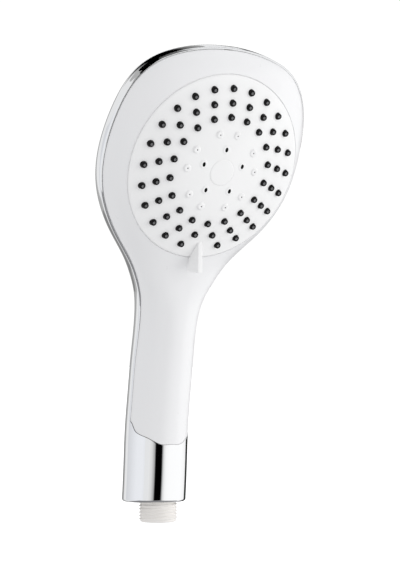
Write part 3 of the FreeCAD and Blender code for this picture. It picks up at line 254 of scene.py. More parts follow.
# ------------------------------------------------------------------ materials
def shader(name, base, rough, metallic=0.0, spread=0.02, tone=0.0, scale=40.0, bump=0.0, bump_scale=900.0, spec=0.5, coat=0.0, ior=1.5, fine=None):
    """Moulded or plated finish: slow drift of tone, uneven gloss and a fine surface texture."""
    m = bpy.data.materials.new(name)
    m.use_nodes = True
    nt = m.node_tree
    nt.nodes.clear()
    out = nt.nodes.new("ShaderNodeOutputMaterial")
    b = nt.nodes.new("ShaderNodeBsdfPrincipled")
    nt.links.new(b.outputs[0], out.inputs[0])
    b.inputs["Metallic"].default_value = metallic
    b.inputs["IOR"].default_value = ior
    b.inputs["Specular IOR Level"].default_value = spec
    if coat:
        b.inputs["Coat Weight"].default_value = coat
        b.inputs["Coat Roughness"].default_value = 0.08
    tc = nt.nodes.new("ShaderNodeTexCoord")
    n1 = nt.nodes.new("ShaderNodeTexNoise")
    n1.inputs["Scale"].default_value = scale
    n1.inputs["Detail"].default_value = 4.0
    nt.links.new(tc.outputs["Object"], n1.inputs["Vector"])
    ramp = nt.nodes.new("ShaderNodeMix")
    ramp.data_type = "RGBA"
    lo = [max(0.0, c * (1 - spread)) for c in base] + [1]
    hi = [min(1.0, c * (1 + spread) + tone) for c in base] + [1]
    ramp.inputs[6].default_value = lo
    ramp.inputs[7].default_value = hi
    nt.links.new(n1.outputs["Fac"], ramp.inputs[0])
    nt.links.new(ramp.outputs[2], b.inputs["Base Color"])
    n2 = nt.nodes.new("ShaderNodeTexNoise")
    n2.inputs["Scale"].default_value = scale * 6
    n2.inputs["Detail"].default_value = 6.0
    n2.inputs["Roughness"].default_value = 0.6
    nt.links.new(tc.outputs["Object"], n2.inputs["Vector"])
    mr = nt.nodes.new("ShaderNodeMapRange")
    mr.inputs[1].default_value = 0.3
    mr.inputs[2].default_value = 0.7
    mr.inputs[3].default_value = max(0.01, rough * 0.8)
    mr.inputs[4].default_value = min(1.0, rough * 1.2)
    nt.links.new(n2.outputs["Fac"], mr.inputs[0])
    nt.links.new(mr.outputs[0], b.inputs["Roughness"])
    if bump > 0:
        n3 = nt.nodes.new("ShaderNodeTexNoise") if fine is None else nt.nodes.new(fine)
        n3.inputs["Scale"].default_value = bump_scale
        nt.links.new(tc.outputs["Object"], n3.inputs["Vector"])
        bp = nt.nodes.new("ShaderNodeBump")
        bp.inputs["Strength"].default_value = bump
        bp.inputs["Distance"].default_value = 0.0001
        nt.links.new(n3.outputs[0], bp.inputs["Height"])
        nt.links.new(bp.outputs[0], b.inputs["Normal"])
    return m


CHROME = shader("chrome_plate", (0.90, 0.905, 0.91), 0.045, 1.0, spread=0.01, scale=60, bump=0.02, bump_scale=400)
WHITE = shader("white_moulding", (0.885, 0.886, 0.893), 0.34, spread=0.006, scale=30, bump=0.05, bump_scale=2200, spec=0.4)
DISCW = shader("white_disc", (0.925, 0.925, 0.924), 0.36, spread=0.006, scale=30, bump=0.05, bump_scale=2200, spec=0.4)
SILICONE = shader("black_silicone", (0.004, 0.004, 0.0045), 0.4, spread=0.2, scale=300, bump=0.1, bump_scale=3000, spec=0.12)
# painted highlight: grey on each nozzle's tip dimple stands in for light caught in the outlet's recess
TIP_HIGHLIGHT = shader("silicone_painted_highlight_tip", (0.13, 0.13, 0.135), 0.5, spread=0.2, scale=600, bump=0.15, bump_scale=3000, spec=0.4)
# painted shade: near-black wall and floor of the shallow jet holes stand in for the shade deep inside each hole
BORE_SHADE = shader("painted_shade_bore", (0.006, 0.006, 0.006), 0.7, spread=0.2, scale=300, bump=0.1, spec=0.1)
# painted shade: a grey copy of the white plastic for the inside of the fine mist holes
SHADE = shader("painted_shade_hole_white", (0.30, 0.30, 0.29), 0.6, spread=0.1, scale=300, bump=0.1, spec=0.2)
CREAM = shader("cream_moulding", (0.90, 0.875, 0.845), 0.42, spread=0.02, scale=120, bump=0.1, bump_scale=1800, spec=0.4)
GREY = shader("grey_moulding", (0.42, 0.43, 0.45), 0.5, spread=0.05, scale=80, bump=0.12, bump_scale=1500)
BLUE = shader("blue_moulding", (0.16, 0.30, 0.52), 0.45, spread=0.06, scale=120, bump=0.1, bump_scale=1500)
STEEL = shader("turned_steel", (0.62, 0.62, 0.64), 0.25, 1.0, spread=0.05, scale=200, bump=0.15, bump_scale=1600, fine="ShaderNodeTexNoise")
SEAL = shader("black_rubber", (0.02, 0.02, 0.02), 0.6, spread=0.25, scale=300, bump=0.2, bump_scale=2500)

for node, m in {"chamber_plate": GREY, "chamber_o_ring": SEAL, "chamber_screws": STEEL, "mist_inserts": BLUE, "turbine": BLUE,
                "turbine_guide": GREY, "diverter_body": GREY, "hub_o_ring": SEAL, "diverter_seal": SEAL, "seal_carrier": GREY,
                "seal_springs": STEEL, "detent_leaf": STEEL, "cover_screws": STEEL, "centre_screw": STEEL, "centre_washer": STEEL,
                "waterway_tube": GREY, "tube_o_rings": SEAL, "inlet_strainer": STEEL, "flow_regulator": BLUE}.items():
    o = NODES[node]
    if not o.material_slots:
        o.data.materials.append(m)
    for s in o.material_slots:
        s.material = m

# ------------------------------------------------------------------ rear shell
def tongue_z(x):
    """Height of the tongue's edge at distance x from the middle plane."""
    return np.interp(np.abs(x), TONGUE_FINE[0], TONGUE_FINE[1])


_s = np.concatenate([[0.0], np.cumsum(np.hypot(*np.diff(TONGUE, axis=0).T))])
_full_s = np.concatenate([-_s[:0:-1], _s])
_full = np.vstack([TONGUE[:0:-1] * [-1, 1], TONGUE])
_sp = Spline(_full_s, _full)
_q = np.linspace(0, _s[-1], 200)
_tv = _sp(_q)[0]
TONGUE_FINE = (_tv[:, 0], _tv[:, 1])


def chord_at(al, inset=0.0, lift=0.0):
    """Chord value where the skin at angle al meets the tongue's edge."""
    al = np.asarray(al, float)
    lo, hi = np.full(al.shape, 20.0), np.full(al.shape, 75.0)
    for _ in range(40):
        m = 0.5 * (lo + hi)
        p = skin(m, al, inset, inset, inset)
        below = p[..., 2] < tongue_z(p[..., 0]) + lift
        lo = np.where(below, m, lo)
        hi = np.where(below, hi, m)
    return 0.5 * (lo + hi)


ROUND = 1.4
FOOT = -0.8                               # the collar reaches this far over the flange
SH = Build()
NA = 96                                   # columns over each half
back_al = np.radians(np.concatenate([[180.0], np.linspace(185.0, 355.0, 149), [360.0]]))
front_al = np.radians(np.linspace(0.0, 180.0, 2 * NA + 1))
t_corner = float(chord_at(np.array([0.0]))[0])
# rows over the rolled lower edge
roll = [(FOOT + ROUND * (1 - math.cos(math.radians(a))), ROUND * (1 - math.sin(math.radians(a)))) for a in np.linspace(0, 90, 9)]


def rolled(al):
    return np.stack([skin(t, al, d, d, d) for t, d in roll])


K = 60
low = np.stack([skin(FOOT + ROUND + (t_corner - FOOT - ROUND) * i / K, back_al) for i in range(1, K + 1)])
upper_t = t_corner + (TEND - t_corner) * (1 - np.cos(np.linspace(0, 1, 261)[1:] * math.pi * 0.5) ** 1.0)
upper_t = t_corner + (TEND - t_corner) * np.sin(np.linspace(0, 1, 321)[1:] * math.pi / 2) ** 1.0
rows = [skin(t, back_al) for t in upper_t]
for r, t in zip(rows, upper_t):
    e = 0.86 * smooth((t - t_corner) / 2.5) * float(lip(t)) / LIP
    r[0] = skin(t, math.pi, shift=e)
    r[-1] = skin(t, 0.0, shift=e)
SH.grid(np.vstack([rolled(back_al), low, np.stack(rows)]), flip=True)
# closing cap at the very top
SH.fan(rows[-1], rows[-1].mean(0), flip=False)
# lower front half of the tube, up to the tongue's edge
ts = chord_at(front_al, lift=-0.14)
ts[0] = ts[-1] = t_corner
fr_rows = [skin(FOOT + ROUND + (ts - FOOT - ROUND) * i / K, front_al) for i in range(1, K + 1)]
SH.grid(np.vstack([rolled(front_al), np.stack(fr_rows)]), flip=True)
# rolled edge along the tongue and the step behind it
edge = []
for d, lift in ((0.0, -0.14), (0.02, -0.07), (0.07, -0.02), (0.14, 0.0), (1.3, 0.0), (1.9, 0.02)):
    tt = chord_at(front_al, inset=d, lift=lift)
    edge.append(skin(tt, front_al, d, d, d))
SH.grid(np.stack(edge), flip=True)
# lip beside the cover, round the head: a soft bevel falling outwards, then the groove
LIP_ROWS = ((0.0, 0.86), (0.05, 0.74), (0.1, 0.635), (0.2, 0.49), (0.3, 0.38), (0.4, 0.285), (0.5, 0.205), (0.6, 0.14),
            (0.7, 0.085), (0.8, 0.045), (0.86, 0.035), (0.89, 0.05), (0.905, 0.12), (0.92, 0.55), (3.4, 0.95))
for al, flip in ((0.0, False), (math.pi, True)):
    cols = []
    tt = np.concatenate([[t_corner], upper_t])
    e = smooth((tt - t_corner) / 2.5)
    for s, h in LIP_ROWS:
        f = lip(tt) / LIP
        if s > 3:
            f = np.ones_like(tt)
        cols.append(np.stack([skin(t, al, side=s * w, front=s * w, back=s * w, shift=h * k * w) for t, k, w in zip(tt, e, f)]))
    SH.grid(np.stack(cols, 1), flip=flip)
tops = []
for s, h in LIP_ROWS:
    a, b = skin(TEND, 0.0, side=s, front=s, back=s, shift=h), skin(TEND, math.pi, side=s, front=s, back=s, shift=h)
    tops.append(np.stack([a + (b - a) * k for k in np.linspace(0, 1, 9)]))
SH.grid(np.stack(tops), flip=False)
# foot of the collar: ring down to the inlet's hole, and its wall
rb = skin(FOOT, np.concatenate([front_al[:-1], back_al[:-1]]), ROUND, ROUND, ROUND)
ang = np.arctan2(rb[:, 1], rb[:, 0])
hole = np.stack([10.75 * np.cos(ang), 10.75 * np.sin(ang), np.full(len(ang), 12.0)], -1)
hole2 = np.stack([10.6 * np.cos(ang), 10.6 * np.sin(ang), np.full(len(ang), 12.15)], -1)
hole3 = hole2 + [0, 0, 2.3]
SH.grid(np.stack([hole3, hole2, hole, rb]), wrap=True)
shell = SH.done("rear_shell_skin", [CHROME], weld=2e-6, angle=50, even=True)
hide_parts("rear_shell")
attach(shell, "handset")

# ------------------------------------------------------------------ front cover
M1, M2, ROWS = 230, 230, 110
A_NECK = 122.0
phis = np.radians(np.concatenate([np.linspace(0, A_NECK, M1, endpoint=False), np.linspace(A_NECK, 180.0, M2)]))
OPEN = 51.25


def cover_point(t, al, **k):
    return skin(t, al, lip(t), 0.0, lip(t), **k)


# where the opening's circle crosses the body's surface
gt, ga = np.meshgrid(np.linspace(CHORD[6], TEND, 420), np.radians(np.linspace(0, 90, 160)), indexing="ij")
gp = to_face(cover_point(gt, ga))
flat = gp.reshape(-1, 3)
target = np.stack([OPEN * np.sin(phis), OPEN * np.cos(phis)], 1)
pick = [int(np.argmin((flat[:, 0] - x) ** 2 + (flat[:, 1] - u) ** 2)) for x, u in target]
ti, ai = gt.ravel()[pick].copy(), ga.ravel()[pick].copy()
for _ in range(12):
    p = to_face(cover_point(ti, ai))[:, :2]
    e1, e2 = 1e-3, 1e-4
    dt = (to_face(cover_point(np.minimum(ti + e1, TEND), ai))[:, :2] - p) / e1
    da = (to_face(cover_point(ti, ai + e2))[:, :2] - p) / e2
    r = target - p
    det = dt[:, 0] * da[:, 1] - dt[:, 1] * da[:, 0]
    det = np.where(np.abs(det) < 1e-9, 1e-9, det)
    st = np.clip((r[:, 0] * da[:, 1] - r[:, 1] * da[:, 0]) / det, -2, 2)
    sa = np.clip((dt[:, 0] * r[:, 1] - dt[:, 1] * r[:, 0]) / det, -0.1, 0.1)
    ti = np.clip(ti + st, CHORD[5], TEND - 1e-3)
    ai = np.clip(ai + sa, 0.0, math.pi / 2)
ai[0] = ai[-1] = math.pi / 2

# outer boundary of half the cover: over the top, down the rim and the handle, along the tongue
bt = np.concatenate([np.full(12, TEND), np.linspace(TEND, t_corner, 900)[1:]])
ba = np.concatenate([np.radians(np.linspace(90, 0, 12)), np.zeros(899)])
ta = np.radians(np.linspace(0, 90, 140))
tt = chord_at(ta, inset=LIP * 0.0, lift=0.12)
tt[0] = t_corner
bt = np.concatenate([bt, tt[1:]])
ba = np.concatenate([ba, ta[1:]])
bp = cover_point(bt, ba)
bl = np.concatenate([[0.0], np.cumsum(np.linalg.norm(np.diff(bp, axis=0), axis=1))])
bf = to_face(bp)
bphi = np.degrees(np.arctan2(bf[:, 0], bf[:, 1]))
rim_part = np.arange(len(bt)) < int(np.argmax(bphi > A_NECK))
s_neck = float(np.interp(A_NECK, np.maximum.accumulate(bphi[rim_part]), bl[rim_part]))
s_out = np.where(np.degrees(phis) <= A_NECK,
                 np.interp(np.degrees(phis), np.maximum.accumulate(bphi[rim_part]), bl[rim_part]), 0)
k2 = np.clip((np.degrees(phis) - A_NECK) / (180.0 - A_NECK), 0.0, 1.0)
slope0 = (np.interp(A_NECK, np.degrees(phis)[:M1], s_out[:M1]) - np.interp(A_NECK - 4, np.degrees(phis)[:M1], s_out[:M1])) / 4 * (180 - A_NECK)
rest_len = bl[-1] - s_neck
lin = np.clip(slope0 / rest_len, 0.05, 1.0)
s_out = np.where(np.degrees(phis) > A_NECK, s_neck + rest_len * (lin * k2 + (1 - lin) * k2 ** 1.6), s_out)
to = np.interp(s_out, bl, bt)
ao = np.interp(s_out, bl, ba)
rr = np.linspace(0, 1, ROWS)
rr = 0.35 * rr + 0.65 * rr ** 2.0
G = []
for r in rr:
    G.append(cover_point(ti + (to - ti) * r, ai + (ao - ai) * r))
G = np.stack(G)                           # rows from the opening outwards, columns round
Gf = to_face(G)
# bring the surface flush to the opening's edge, fading out towards the rim
SEAM_N = -2.75
gap0 = SEAM_N - Gf[0, :, 2]
run = np.concatenate([np.zeros((1, G.shape[1])), np.cumsum(np.linalg.norm(np.diff(Gf, axis=0), axis=2), axis=0)])
reach = np.minimum(run[-1] * 0.98, 22.0)
fade = 1 - smooth(run / reach)
Gf[..., 2] += gap0 * fade
G = from_face(Gf)


def mirrored(g):
    """Whole piece from its +x half; columns run once round."""
    other = g[:, -2:0:-1].copy()
    other[..., 0] *= -1
    g = g.copy()
    g[:, 0, 0] = 0.0
    g[:, -1, 0] = 0.0
    return np.concatenate([g, other], 1)


whole = mirrored(G)
CO = Build()
# rolled edge at the opening, then the wall down beside the disc
first = to_face(whole[0])
second = to_face(whole[1])
phi_all = np.arctan2(first[:, 0], first[:, 1])
inn = []
for dr, dn in ((0.0, -4.6), (0.0, -0.3), (0.03, -0.14), (0.1, -0.04)):
    q = first.copy()
    q[:, 0] = (OPEN + dr) * np.sin(phi_all)
    q[:, 1] = (OPEN + dr) * np.cos(phi_all)
    q[:, 2] = SEAM_N + dn - 0.05
    inn.append(from_face(q))
w2 = whole.copy()
q = first.copy()
q[:, 0] = (OPEN + 0.3) * np.sin(phi_all)
q[:, 1] = (OPEN + 0.3) * np.cos(phi_all)
q[:, 2] = SEAM_N - 0.12
w2[0] = from_face(q)
top = np.stack(inn + list(w2))
# outer edge: rolled, then down behind the lip
nb = len(bt)
down = []
for s, h, z in ((0.04, 0.12, 0.0), (0.12, 0.3, 0.0), (0.14, 1.1, 0.0), (1.6, 1.2, 0.0)):
    a_half = skin(to, ao, lip(to) + s, s, lip(to) + s, shift=0.0)
    v, _ = CURVE(to)
    g = np.radians(v[:, 2])
    fr2 = np.stack([np.zeros(len(g)), -np.cos(g), -np.sin(g)], 1)
    along = np.clip(1 - ao / 0.25, 0, 1)[:, None]          # parting part
    tong = 1 - along
    # towards the back beside the lip, towards the inside along the tongue
    inset = skin(to, ao, lip(to) + h * 0.9, h * 0.9, lip(to) + h * 0.9)
    half = (a_half - fr2 * h) * along + inset * tong
    down.append(mirrored(half[None])[0])
CO.grid(np.concatenate([top, np.stack(down)]), wrap=True, flip=True)
cover = CO.done("front_cover_skin", [WHITE], weld=2e-6, angle=45, even=True)
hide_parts("front_cover")
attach(cover, "handset")

# ------------------------------------------------------------------ spray disc with nubs and tab
def at(r, deg):
    a = np.radians(deg)
    return r * np.sin(a), r * np.cos(a)


RINGS = [(44.2, [180 - 15.0 * (i + 1) for i in range(23)]), (36.9, [360.0 / 21 * i for i in range(21)]), (29.6, [20.0 * i for i in range(18)])]
NOZ = [(at(r, a), r, a) for r, aa in RINGS for a in aa]
MIST = [at(20.9, 72 * i + s) for i in range(5) for s in (15, -15)]
JET = [at(12.5, 72 * i) for i in range(5)]

DI = Build()
edge_n = float(dome(50.2))
prof = [(7.38, 4.9), (7.38, float(dome(7.38)) - 0.03)] + [(7.42, float(dome(7.42)))]
prof += [(r, float(dome(r))) for r in np.linspace(7.7, 50.25, 60)]
prof += [(50.5, float(dome(50.5)) - 0.05), (50.72, float(dome(50.6)) - 0.17), (50.86, float(dome(50.7)) - 0.36), (50.9, float(dome(50.7)) - 0.62), (50.93, float(dome(50.7)) - 0.9), (51.0, float(dome(50.7)) - 0.98), (51.2, float(dome(50.7)) - 1.0), (51.2, -4.5), (50.9, -4.6), (50.9, -9.4), (49.1, -9.4), (49.1, -4.2)]
DI.lathe(prof, on_face, 360, flip=False)


def nub(b, x, y, base_r, top_r, hgt, hole, hole_shade_mat, mat=0, n=32, squeeze=1.0):
    """Low round boss with a rolled rim and a fine hole, standing on the dome at (x, y)."""
    r0 = math.hypot(x, y)
    z0 = float(dome(r0))
    p = [(base_r + 0.35, -0.25), (base_r + 0.16, 0.01), (base_r + 0.03, 0.08), (base_r - 0.06, 0.2)]
    p += [(top_r + 0.05, hgt - 0.16), (top_r - 0.08, hgt - 0.05), (top_r - 0.28, hgt), (hole + 0.08, hgt), (hole, hgt - 0.06)]
    pr = np.array(p)
    slope = -r0 / math.sqrt(DOME_R ** 2 - r0 ** 2)
    ux, uy = (x / r0, y / r0) if r0 > 0 else (0, 1)

    def place(q):
        out = q.copy()
        out[..., 0] = q[..., 0] + x
        out[..., 1] = q[..., 1] + y
        low = np.clip(1 - q[..., 2] / 0.5, 0, 1)
        out[..., 2] = z0 + q[..., 2] + low * slope * (q[..., 0] * ux + q[..., 1] * uy)
        return from_face(out)
    def oval(q):
        k = np.clip((base_r - np.hypot(q[..., 0], q[..., 1])) / (base_r - hole - 0.1), 0, 1)
        w = q.copy()
        w[..., 0] *= 1 - (1 - squeeze) * k
        return place(w)
    b.lathe(pr, oval, n, mat=mat)
    # the hole's wall and shallow floor take hole_shade_mat, a painted-shade colour for the dark inside of the hole
    b.lathe([(hole, hgt - 0.06), (hole, 0.1), (0.001, 0.1)], oval, n, mat=hole_shade_mat)


for x, y in MIST:
    # mist holes take the grey painted-shade material (index 2)
    nub(DI, x, y, 2.12, 1.78, 0.75, 0.36, 2)
for x, y in JET:
    # jet holes take the near-black painted-shade material (index 1)
    nub(DI, x, y, 2.25, 2.0, 0.34, 1.28, 1, n=40, squeeze=0.7)
disc = DI.done("spray_disc", [DISCW, BORE_SHADE, SHADE], weld=1e-6, angle=55, even=True)
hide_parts("face_plate")
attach(disc, "face")

# selector tab
TB = Build()
st = []
S0, S1 = 40.7, 57.9
for s in np.concatenate([np.linspace(S0, 55.2, 44), np.linspace(55.5, S1, 14)]):
    k = float(np.clip((s - 40.9) / 15.2, 0, 1.12))
    zt = 1.0 + 6.35 * min(k, 1.02)
    if s < 41.6:
        zt -= 0.25 * (1 - (s - S0) / 0.9) ** 2
    wt = 1.5 * smooth(np.array((s - S0) / 2.2 + 0.25))
    wb = wt + 0.25 + 1.75 * min(k, 1.06)
    if s < 50.75:
        zb = float(dome(s)) - 0.6
    else:
        zb = -1.75 + (s - 50.75) / 7.1 * 1.9
    rad = min(0.5, wt * 0.6, (zt - zb) * 0.3)
    side_pts = [(wb + (wt - wb) * q ** 0.92, zb + (zt - rad - zb) * q) for q in np.linspace(0, 1, 9)]
    if s < 50.75:
        foot = float(dome(s))
        toe = 0.28 * smooth(np.array((zt - rad - foot) / 0.9))
        cut = 0.40 * smooth(np.array((zt - rad - foot) / 1.2))
        f = float(np.clip((foot + toe - zb) / max(zt - rad - zb, 0.2), 0.0, 0.95))
        zf = zb + (zt - rad - zb) * f
        xf = wb + (wt - wb) * f ** 0.92
        lead = [(max(xf - cut, 0.05), zb), (max(xf - cut, 0.05), zb + (zf - zb) * 0.72), (max(xf - cut * 0.25, 0.05), zb + (zf - zb) * 0.9)]
        side_pts = lead + [(wb + (wt - wb) * q ** 0.92, zb + (zt - rad - zb) * q) for q in np.linspace(f, 1, 9)]
    else:
        side_pts = [(wb + (wt - wb) * q ** 0.92, zb + (zt - rad - zb) * q) for q in np.linspace(0, 1, 12)]
    top_pts = [(wt - rad + rad * math.cos(a), zt - rad + rad * math.sin(a)) for a in np.radians(np.linspace(15, 90, 6))]
    crown = [(wt - rad) * f for f in (0.66, 0.33)]
    half = side_pts + top_pts + [(c, zt + 0.05 * (1 - (c / max(wt, 1e-6)) ** 2)) for c in crown] + [(0.0, zt + 0.05)]
    line = [(x, z) for x, z in half] + [(-x, z) for x, z in half[-2::-1]]
    row = []
    for x, z in line:
        h = min(max((z - zb) / (zt - zb), 0.0), 1.0)
        stop = S1 - 1.25 * h - 0.35 * h ** 6                   # sloping end, rounded over at its top
        e = min(s, stop)
        over = float(np.clip((s - (stop - 0.7)) / 0.7, 0, 1))
        row.append((x * (1 - 0.05 * over), -e, z - 0.22 * over ** 2 * h ** 4))
    st.append(row)
TBp = np.array(st)
TB.grid(from_face(TBp), flip=True)
last = TBp[-1]
c0 = last.mean(0)
ring = from_face(last)
mid = from_face((last - c0) * 0.8 + c0 + [0, -0.03, 0])
TB.grid(np.stack([ring, mid]), flip=True)
TB.fan(mid, from_face(c0 + [0, -0.04, 0]), flip=False)
under = [i for i in range(len(TBp)) if -TBp[i, 0, 1] >= 50.7]
TB.grid(np.stack([from_face(TBp[under][:, 0]), from_face(TBp[under][:, -1])], 1), flip=False)
tab = TB.done("selector_tab", [DISCW], weld=1e-6, angle=48, even=True)
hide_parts("face_plate")
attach(tab, "face")

# cap in the middle
CP = Build()
pr = [(0.001, APEX + 0.24)] + [(r, float(dome(r)) + 0.24) for r in np.linspace(0.6, 6.5, 14)] + [(6.72, float(dome(6.7)) + 0.225), (6.88, float(dome(6.88)) + 0.17), (7.04, float(dome(7.04)) + 0.06), (7.16, float(dome(7.16)) + 0.01), (7.33, float(dome(7.33)) - 0.01), (7.36, float(dome(7.3)) - 0.06), (7.36, 4.9), (0.001, 4.9)]
CP.lathe(pr, on_face, 128)
cap = CP.done("centre_cap_skin", [DISCW], angle=50, turn=True)
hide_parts("centre_cap")
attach(cap, "face")

# ------------------------------------------------------------------ silicone nozzles
NZ = Build()
for (x, y), r0, a in NOZ:
    z0 = float(dome(r0))
    slope = -r0 / math.sqrt(DOME_R ** 2 - r0 ** 2)
    ux, uy = x / r0, y / r0

    def place(q, x=x, y=y, z0=z0, slope=slope, ux=ux, uy=uy):
        out = q.copy()
        low = np.clip(1 - q[..., 2] / 0.6, 0, 1)
        out[..., 2] = z0 + q[..., 2] + low * slope * (q[..., 0] * ux + q[..., 1] * uy)
        out[..., 0] = q[..., 0] + x
        out[..., 1] = q[..., 1] + y
        return from_face(out)
    body = [(1.9, -1.0), (1.9, 0.01), (1.85, 0.06), (1.8, 0.2), (1.74, 0.5), (1.65, 1.0), (1.6, 1.28), (1.53, 1.42), (1.38, 1.5), (0.78, 1.5)]
    NZ.lathe(body, place, 36)
    # tip dimple in the grey painted-highlight material
    NZ.lathe([(0.78, 1.5), (0.7, 1.47), (0.62, 1.38), (0.001, 1.34)], place, 36, mat=1)
noz = NZ.done("spray_nozzles", [SILICONE, TIP_HIGHLIGHT, BORE_SHADE], angle=60)
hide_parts("nozzle_mat")
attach(noz, "face")

# ------------------------------------------------------------------ threaded inlet
TH = Build()
PITCH, ROOT, CREST = 1.814, 9.75, 10.4775
steps = 120
z_lo, z_hi = 0.42, 11.6
turns = np.linspace(0, 2 * math.pi, steps + 1)
zs = np.concatenate([np.arange(0.42, 12.2, PITCH / 14.0)])
gridp = []
for z in zs:
    line = []
    for a in turns:
        ph = ((z / PITCH) - a / (2 * math.pi)) % 1.0
        d = abs(ph - 0.5) * PITCH
        h = np.clip((0.755 - d) / (0.755 - 0.15), 0, 1)
        h = smooth(h) * 0.8 + h * 0.2
        run_in = smooth((z - 0.35) / 1.6) * smooth((11.75 - z) / 0.9)
        r = ROOT + (CREST - ROOT) * h * run_in
        line.append((r * math.cos(a), r * math.sin(a), z))
    gridp.append(line)
TH.grid(np.array(gridp), wrap=False, flip=False)
TH.lathe([(ROOT, 12.2), (ROOT, 14.5)], on_axis, 120)
TH.lathe([(ROOT, 0.42), (9.18, 0.16), (8.95, 0.02), (8.8, 0.0), (7.2, 0.0), (7.02, 0.1), (7.0, 0.3), (7.0, 9.5), (6.5, 9.5), (6.5, 13.9), (5.2, 13.9), (5.2, 32.0), (7.5, 32.0), (7.5, 27.8), (6.6, 27.6), (6.6, 26.4), (7.5, 26.2), (7.5, 17.5)], on_axis, 96, flip=True)


def flange(q):
    out = q.copy()
    out[..., 1] += 5.2
    return out


TH.lathe([(7.5, 17.5), (14.6, 17.5), (14.8, 17.3), (14.8, 14.6), (10.4, 14.5)], flange, 96, flip=True)
inlet = TH.done("inlet_thread", [CREAM], angle=40)
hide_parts("inlet_connector")
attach(inlet, "handset")

# ------------------------------------------------------------------ studio
def card(name, centre, size, look, rgb, strength, camera=False, diffuse=True):
    """Flat card that faces a point: a soft box if it glows, a flag if it is dark."""
    me = bpy.data.meshes.new(name)
    w, h = size[0] / 2, size[1] / 2
    me.from_pydata([(-w, -h, 0), (w, -h, 0), (w, h, 0), (-w, h, 0)], [], [(0, 1, 2, 3)])
    o = bpy.data.objects.new(name, me)
    bpy.context.scene.collection.objects.link(o)
    d = Vector(look) - Vector(centre)
    o.rotation_euler = d.to_track_quat("-Z", "Y").to_euler()
    o.location = centre
    m = bpy.data.materials.new(name)
    m.use_nodes = True
    nt = m.node_tree
    nt.nodes.clear()
    out = nt.nodes.new("ShaderNodeOutputMaterial")
    e = nt.nodes.new("ShaderNodeEmission")
    e.inputs[0].default_value = (*rgb, 1)
    e.inputs[1].default_value = strength
    nt.links.new(e.outputs[0], out.inputs[0])
    me.materials.append(m)
    o.visible_camera = camera
    o.visible_diffuse = diffuse
    o.visible_shadow = False
    return o


# camera
cam_data = bpy.data.cameras.new("camera")
cam = bpy.data.objects.new("camera", cam_data)
bpy.context.scene.collection.objects.link(cam)
bpy.context.scene.camera = cam
right = Vector((0.8485, -0.5292, -0.0004))
upv = Vector((-0.0195, -0.0320, 0.9993))
back = Vector((-0.5288, -0.8479, -0.0374))
m = Matrix((( right.x, upv.x, back.x), (right.y, upv.y, back.y), (right.z, upv.z, back.z))).to_4x4()
q = m.to_quaternion()
cam.matrix_world = Matrix.Translation(Vector((-0.55802, -0.9385, 0.0896))) @ q.to_matrix().to_4x4()
cam_data.sensor_fit = "VERTICAL"
cam_data.sensor_height = 24.0
cam_data.lens = 24.0 * 1974.0 / 570.0
cam_data.clip_start = 0.01

MIDDLE = Vector((0.0, -0.02, 0.13))


def around_camera(azimuth, elevation, dist):
    """Point seen from the object at an azimuth to the right of the camera, and an elevation."""
    h = Vector((back.x, back.y, 0)).normalized()
    r = Vector((right.x, right.y, 0)).normalized()
    a, e = math.radians(azimuth), math.radians(elevation)
    return MIDDLE + (h * math.cos(a) * math.cos(e) + r * math.sin(a) * math.cos(e) + Vector((0, 0, 1)) * math.sin(e)) * dist


# floor and world
fl = bpy.data.meshes.new("floor")
fl.from_pydata([(-30, -30, 0), (30, -30, 0), (30, 30, 0), (-30, 30, 0)], [], [(0, 1, 2, 3)])
floor = bpy.data.objects.new("floor", fl)
bpy.context.scene.collection.objects.link(floor)
floor.location = (0, 0, -0.06)
fm = shader("floor_paper", (0.93, 0.93, 0.93), 0.9, spread=0.003, scale=3.0, spec=0.1)
for nd in fm.node_tree.nodes:
    if nd.type == "BSDF_PRINCIPLED":
        nd.inputs["Emission Color"].default_value = (1, 1, 1, 1)
        nd.inputs["Emission Strength"].default_value = 0.55
fl.materials.append(fm)
floor.visible_diffuse = False
floor.visible_glossy = False

w = bpy.data.worlds.new("studio")
bpy.context.scene.world = w
w.use_nodes = True
nt = w.node_tree
nt.nodes.clear()
wo = nt.nodes.new("ShaderNodeOutputWorld")
lp = nt.nodes.new("ShaderNodeLightPath")


def background(rgb, strength):
    b = nt.nodes.new("ShaderNodeBackground")
    b.inputs[0].default_value = (*rgb, 1)
    b.inputs[1].default_value = strength
    return b.outputs[0]


seen, gloss, fill = background((1, 1, 1), 1.05), background((0.985, 0.99, 1.0), 0.86), background((0.985, 0.988, 1.0), 0.815)
m1 = nt.nodes.new("ShaderNodeMixShader")
m2 = nt.nodes.new("ShaderNodeMixShader")
nt.links.new(lp.outputs["Is Glossy Ray"], m1.inputs[0])
nt.links.new(fill, m1.inputs[1])
nt.links.new(gloss, m1.inputs[2])
nt.links.new(lp.outputs["Is Camera Ray"], m2.inputs[0])
nt.links.new(m1.outputs[0], m2.inputs[1])
nt.links.new(seen, m2.inputs[2])
nt.links.new(m2.outputs[0], wo.inputs[0])


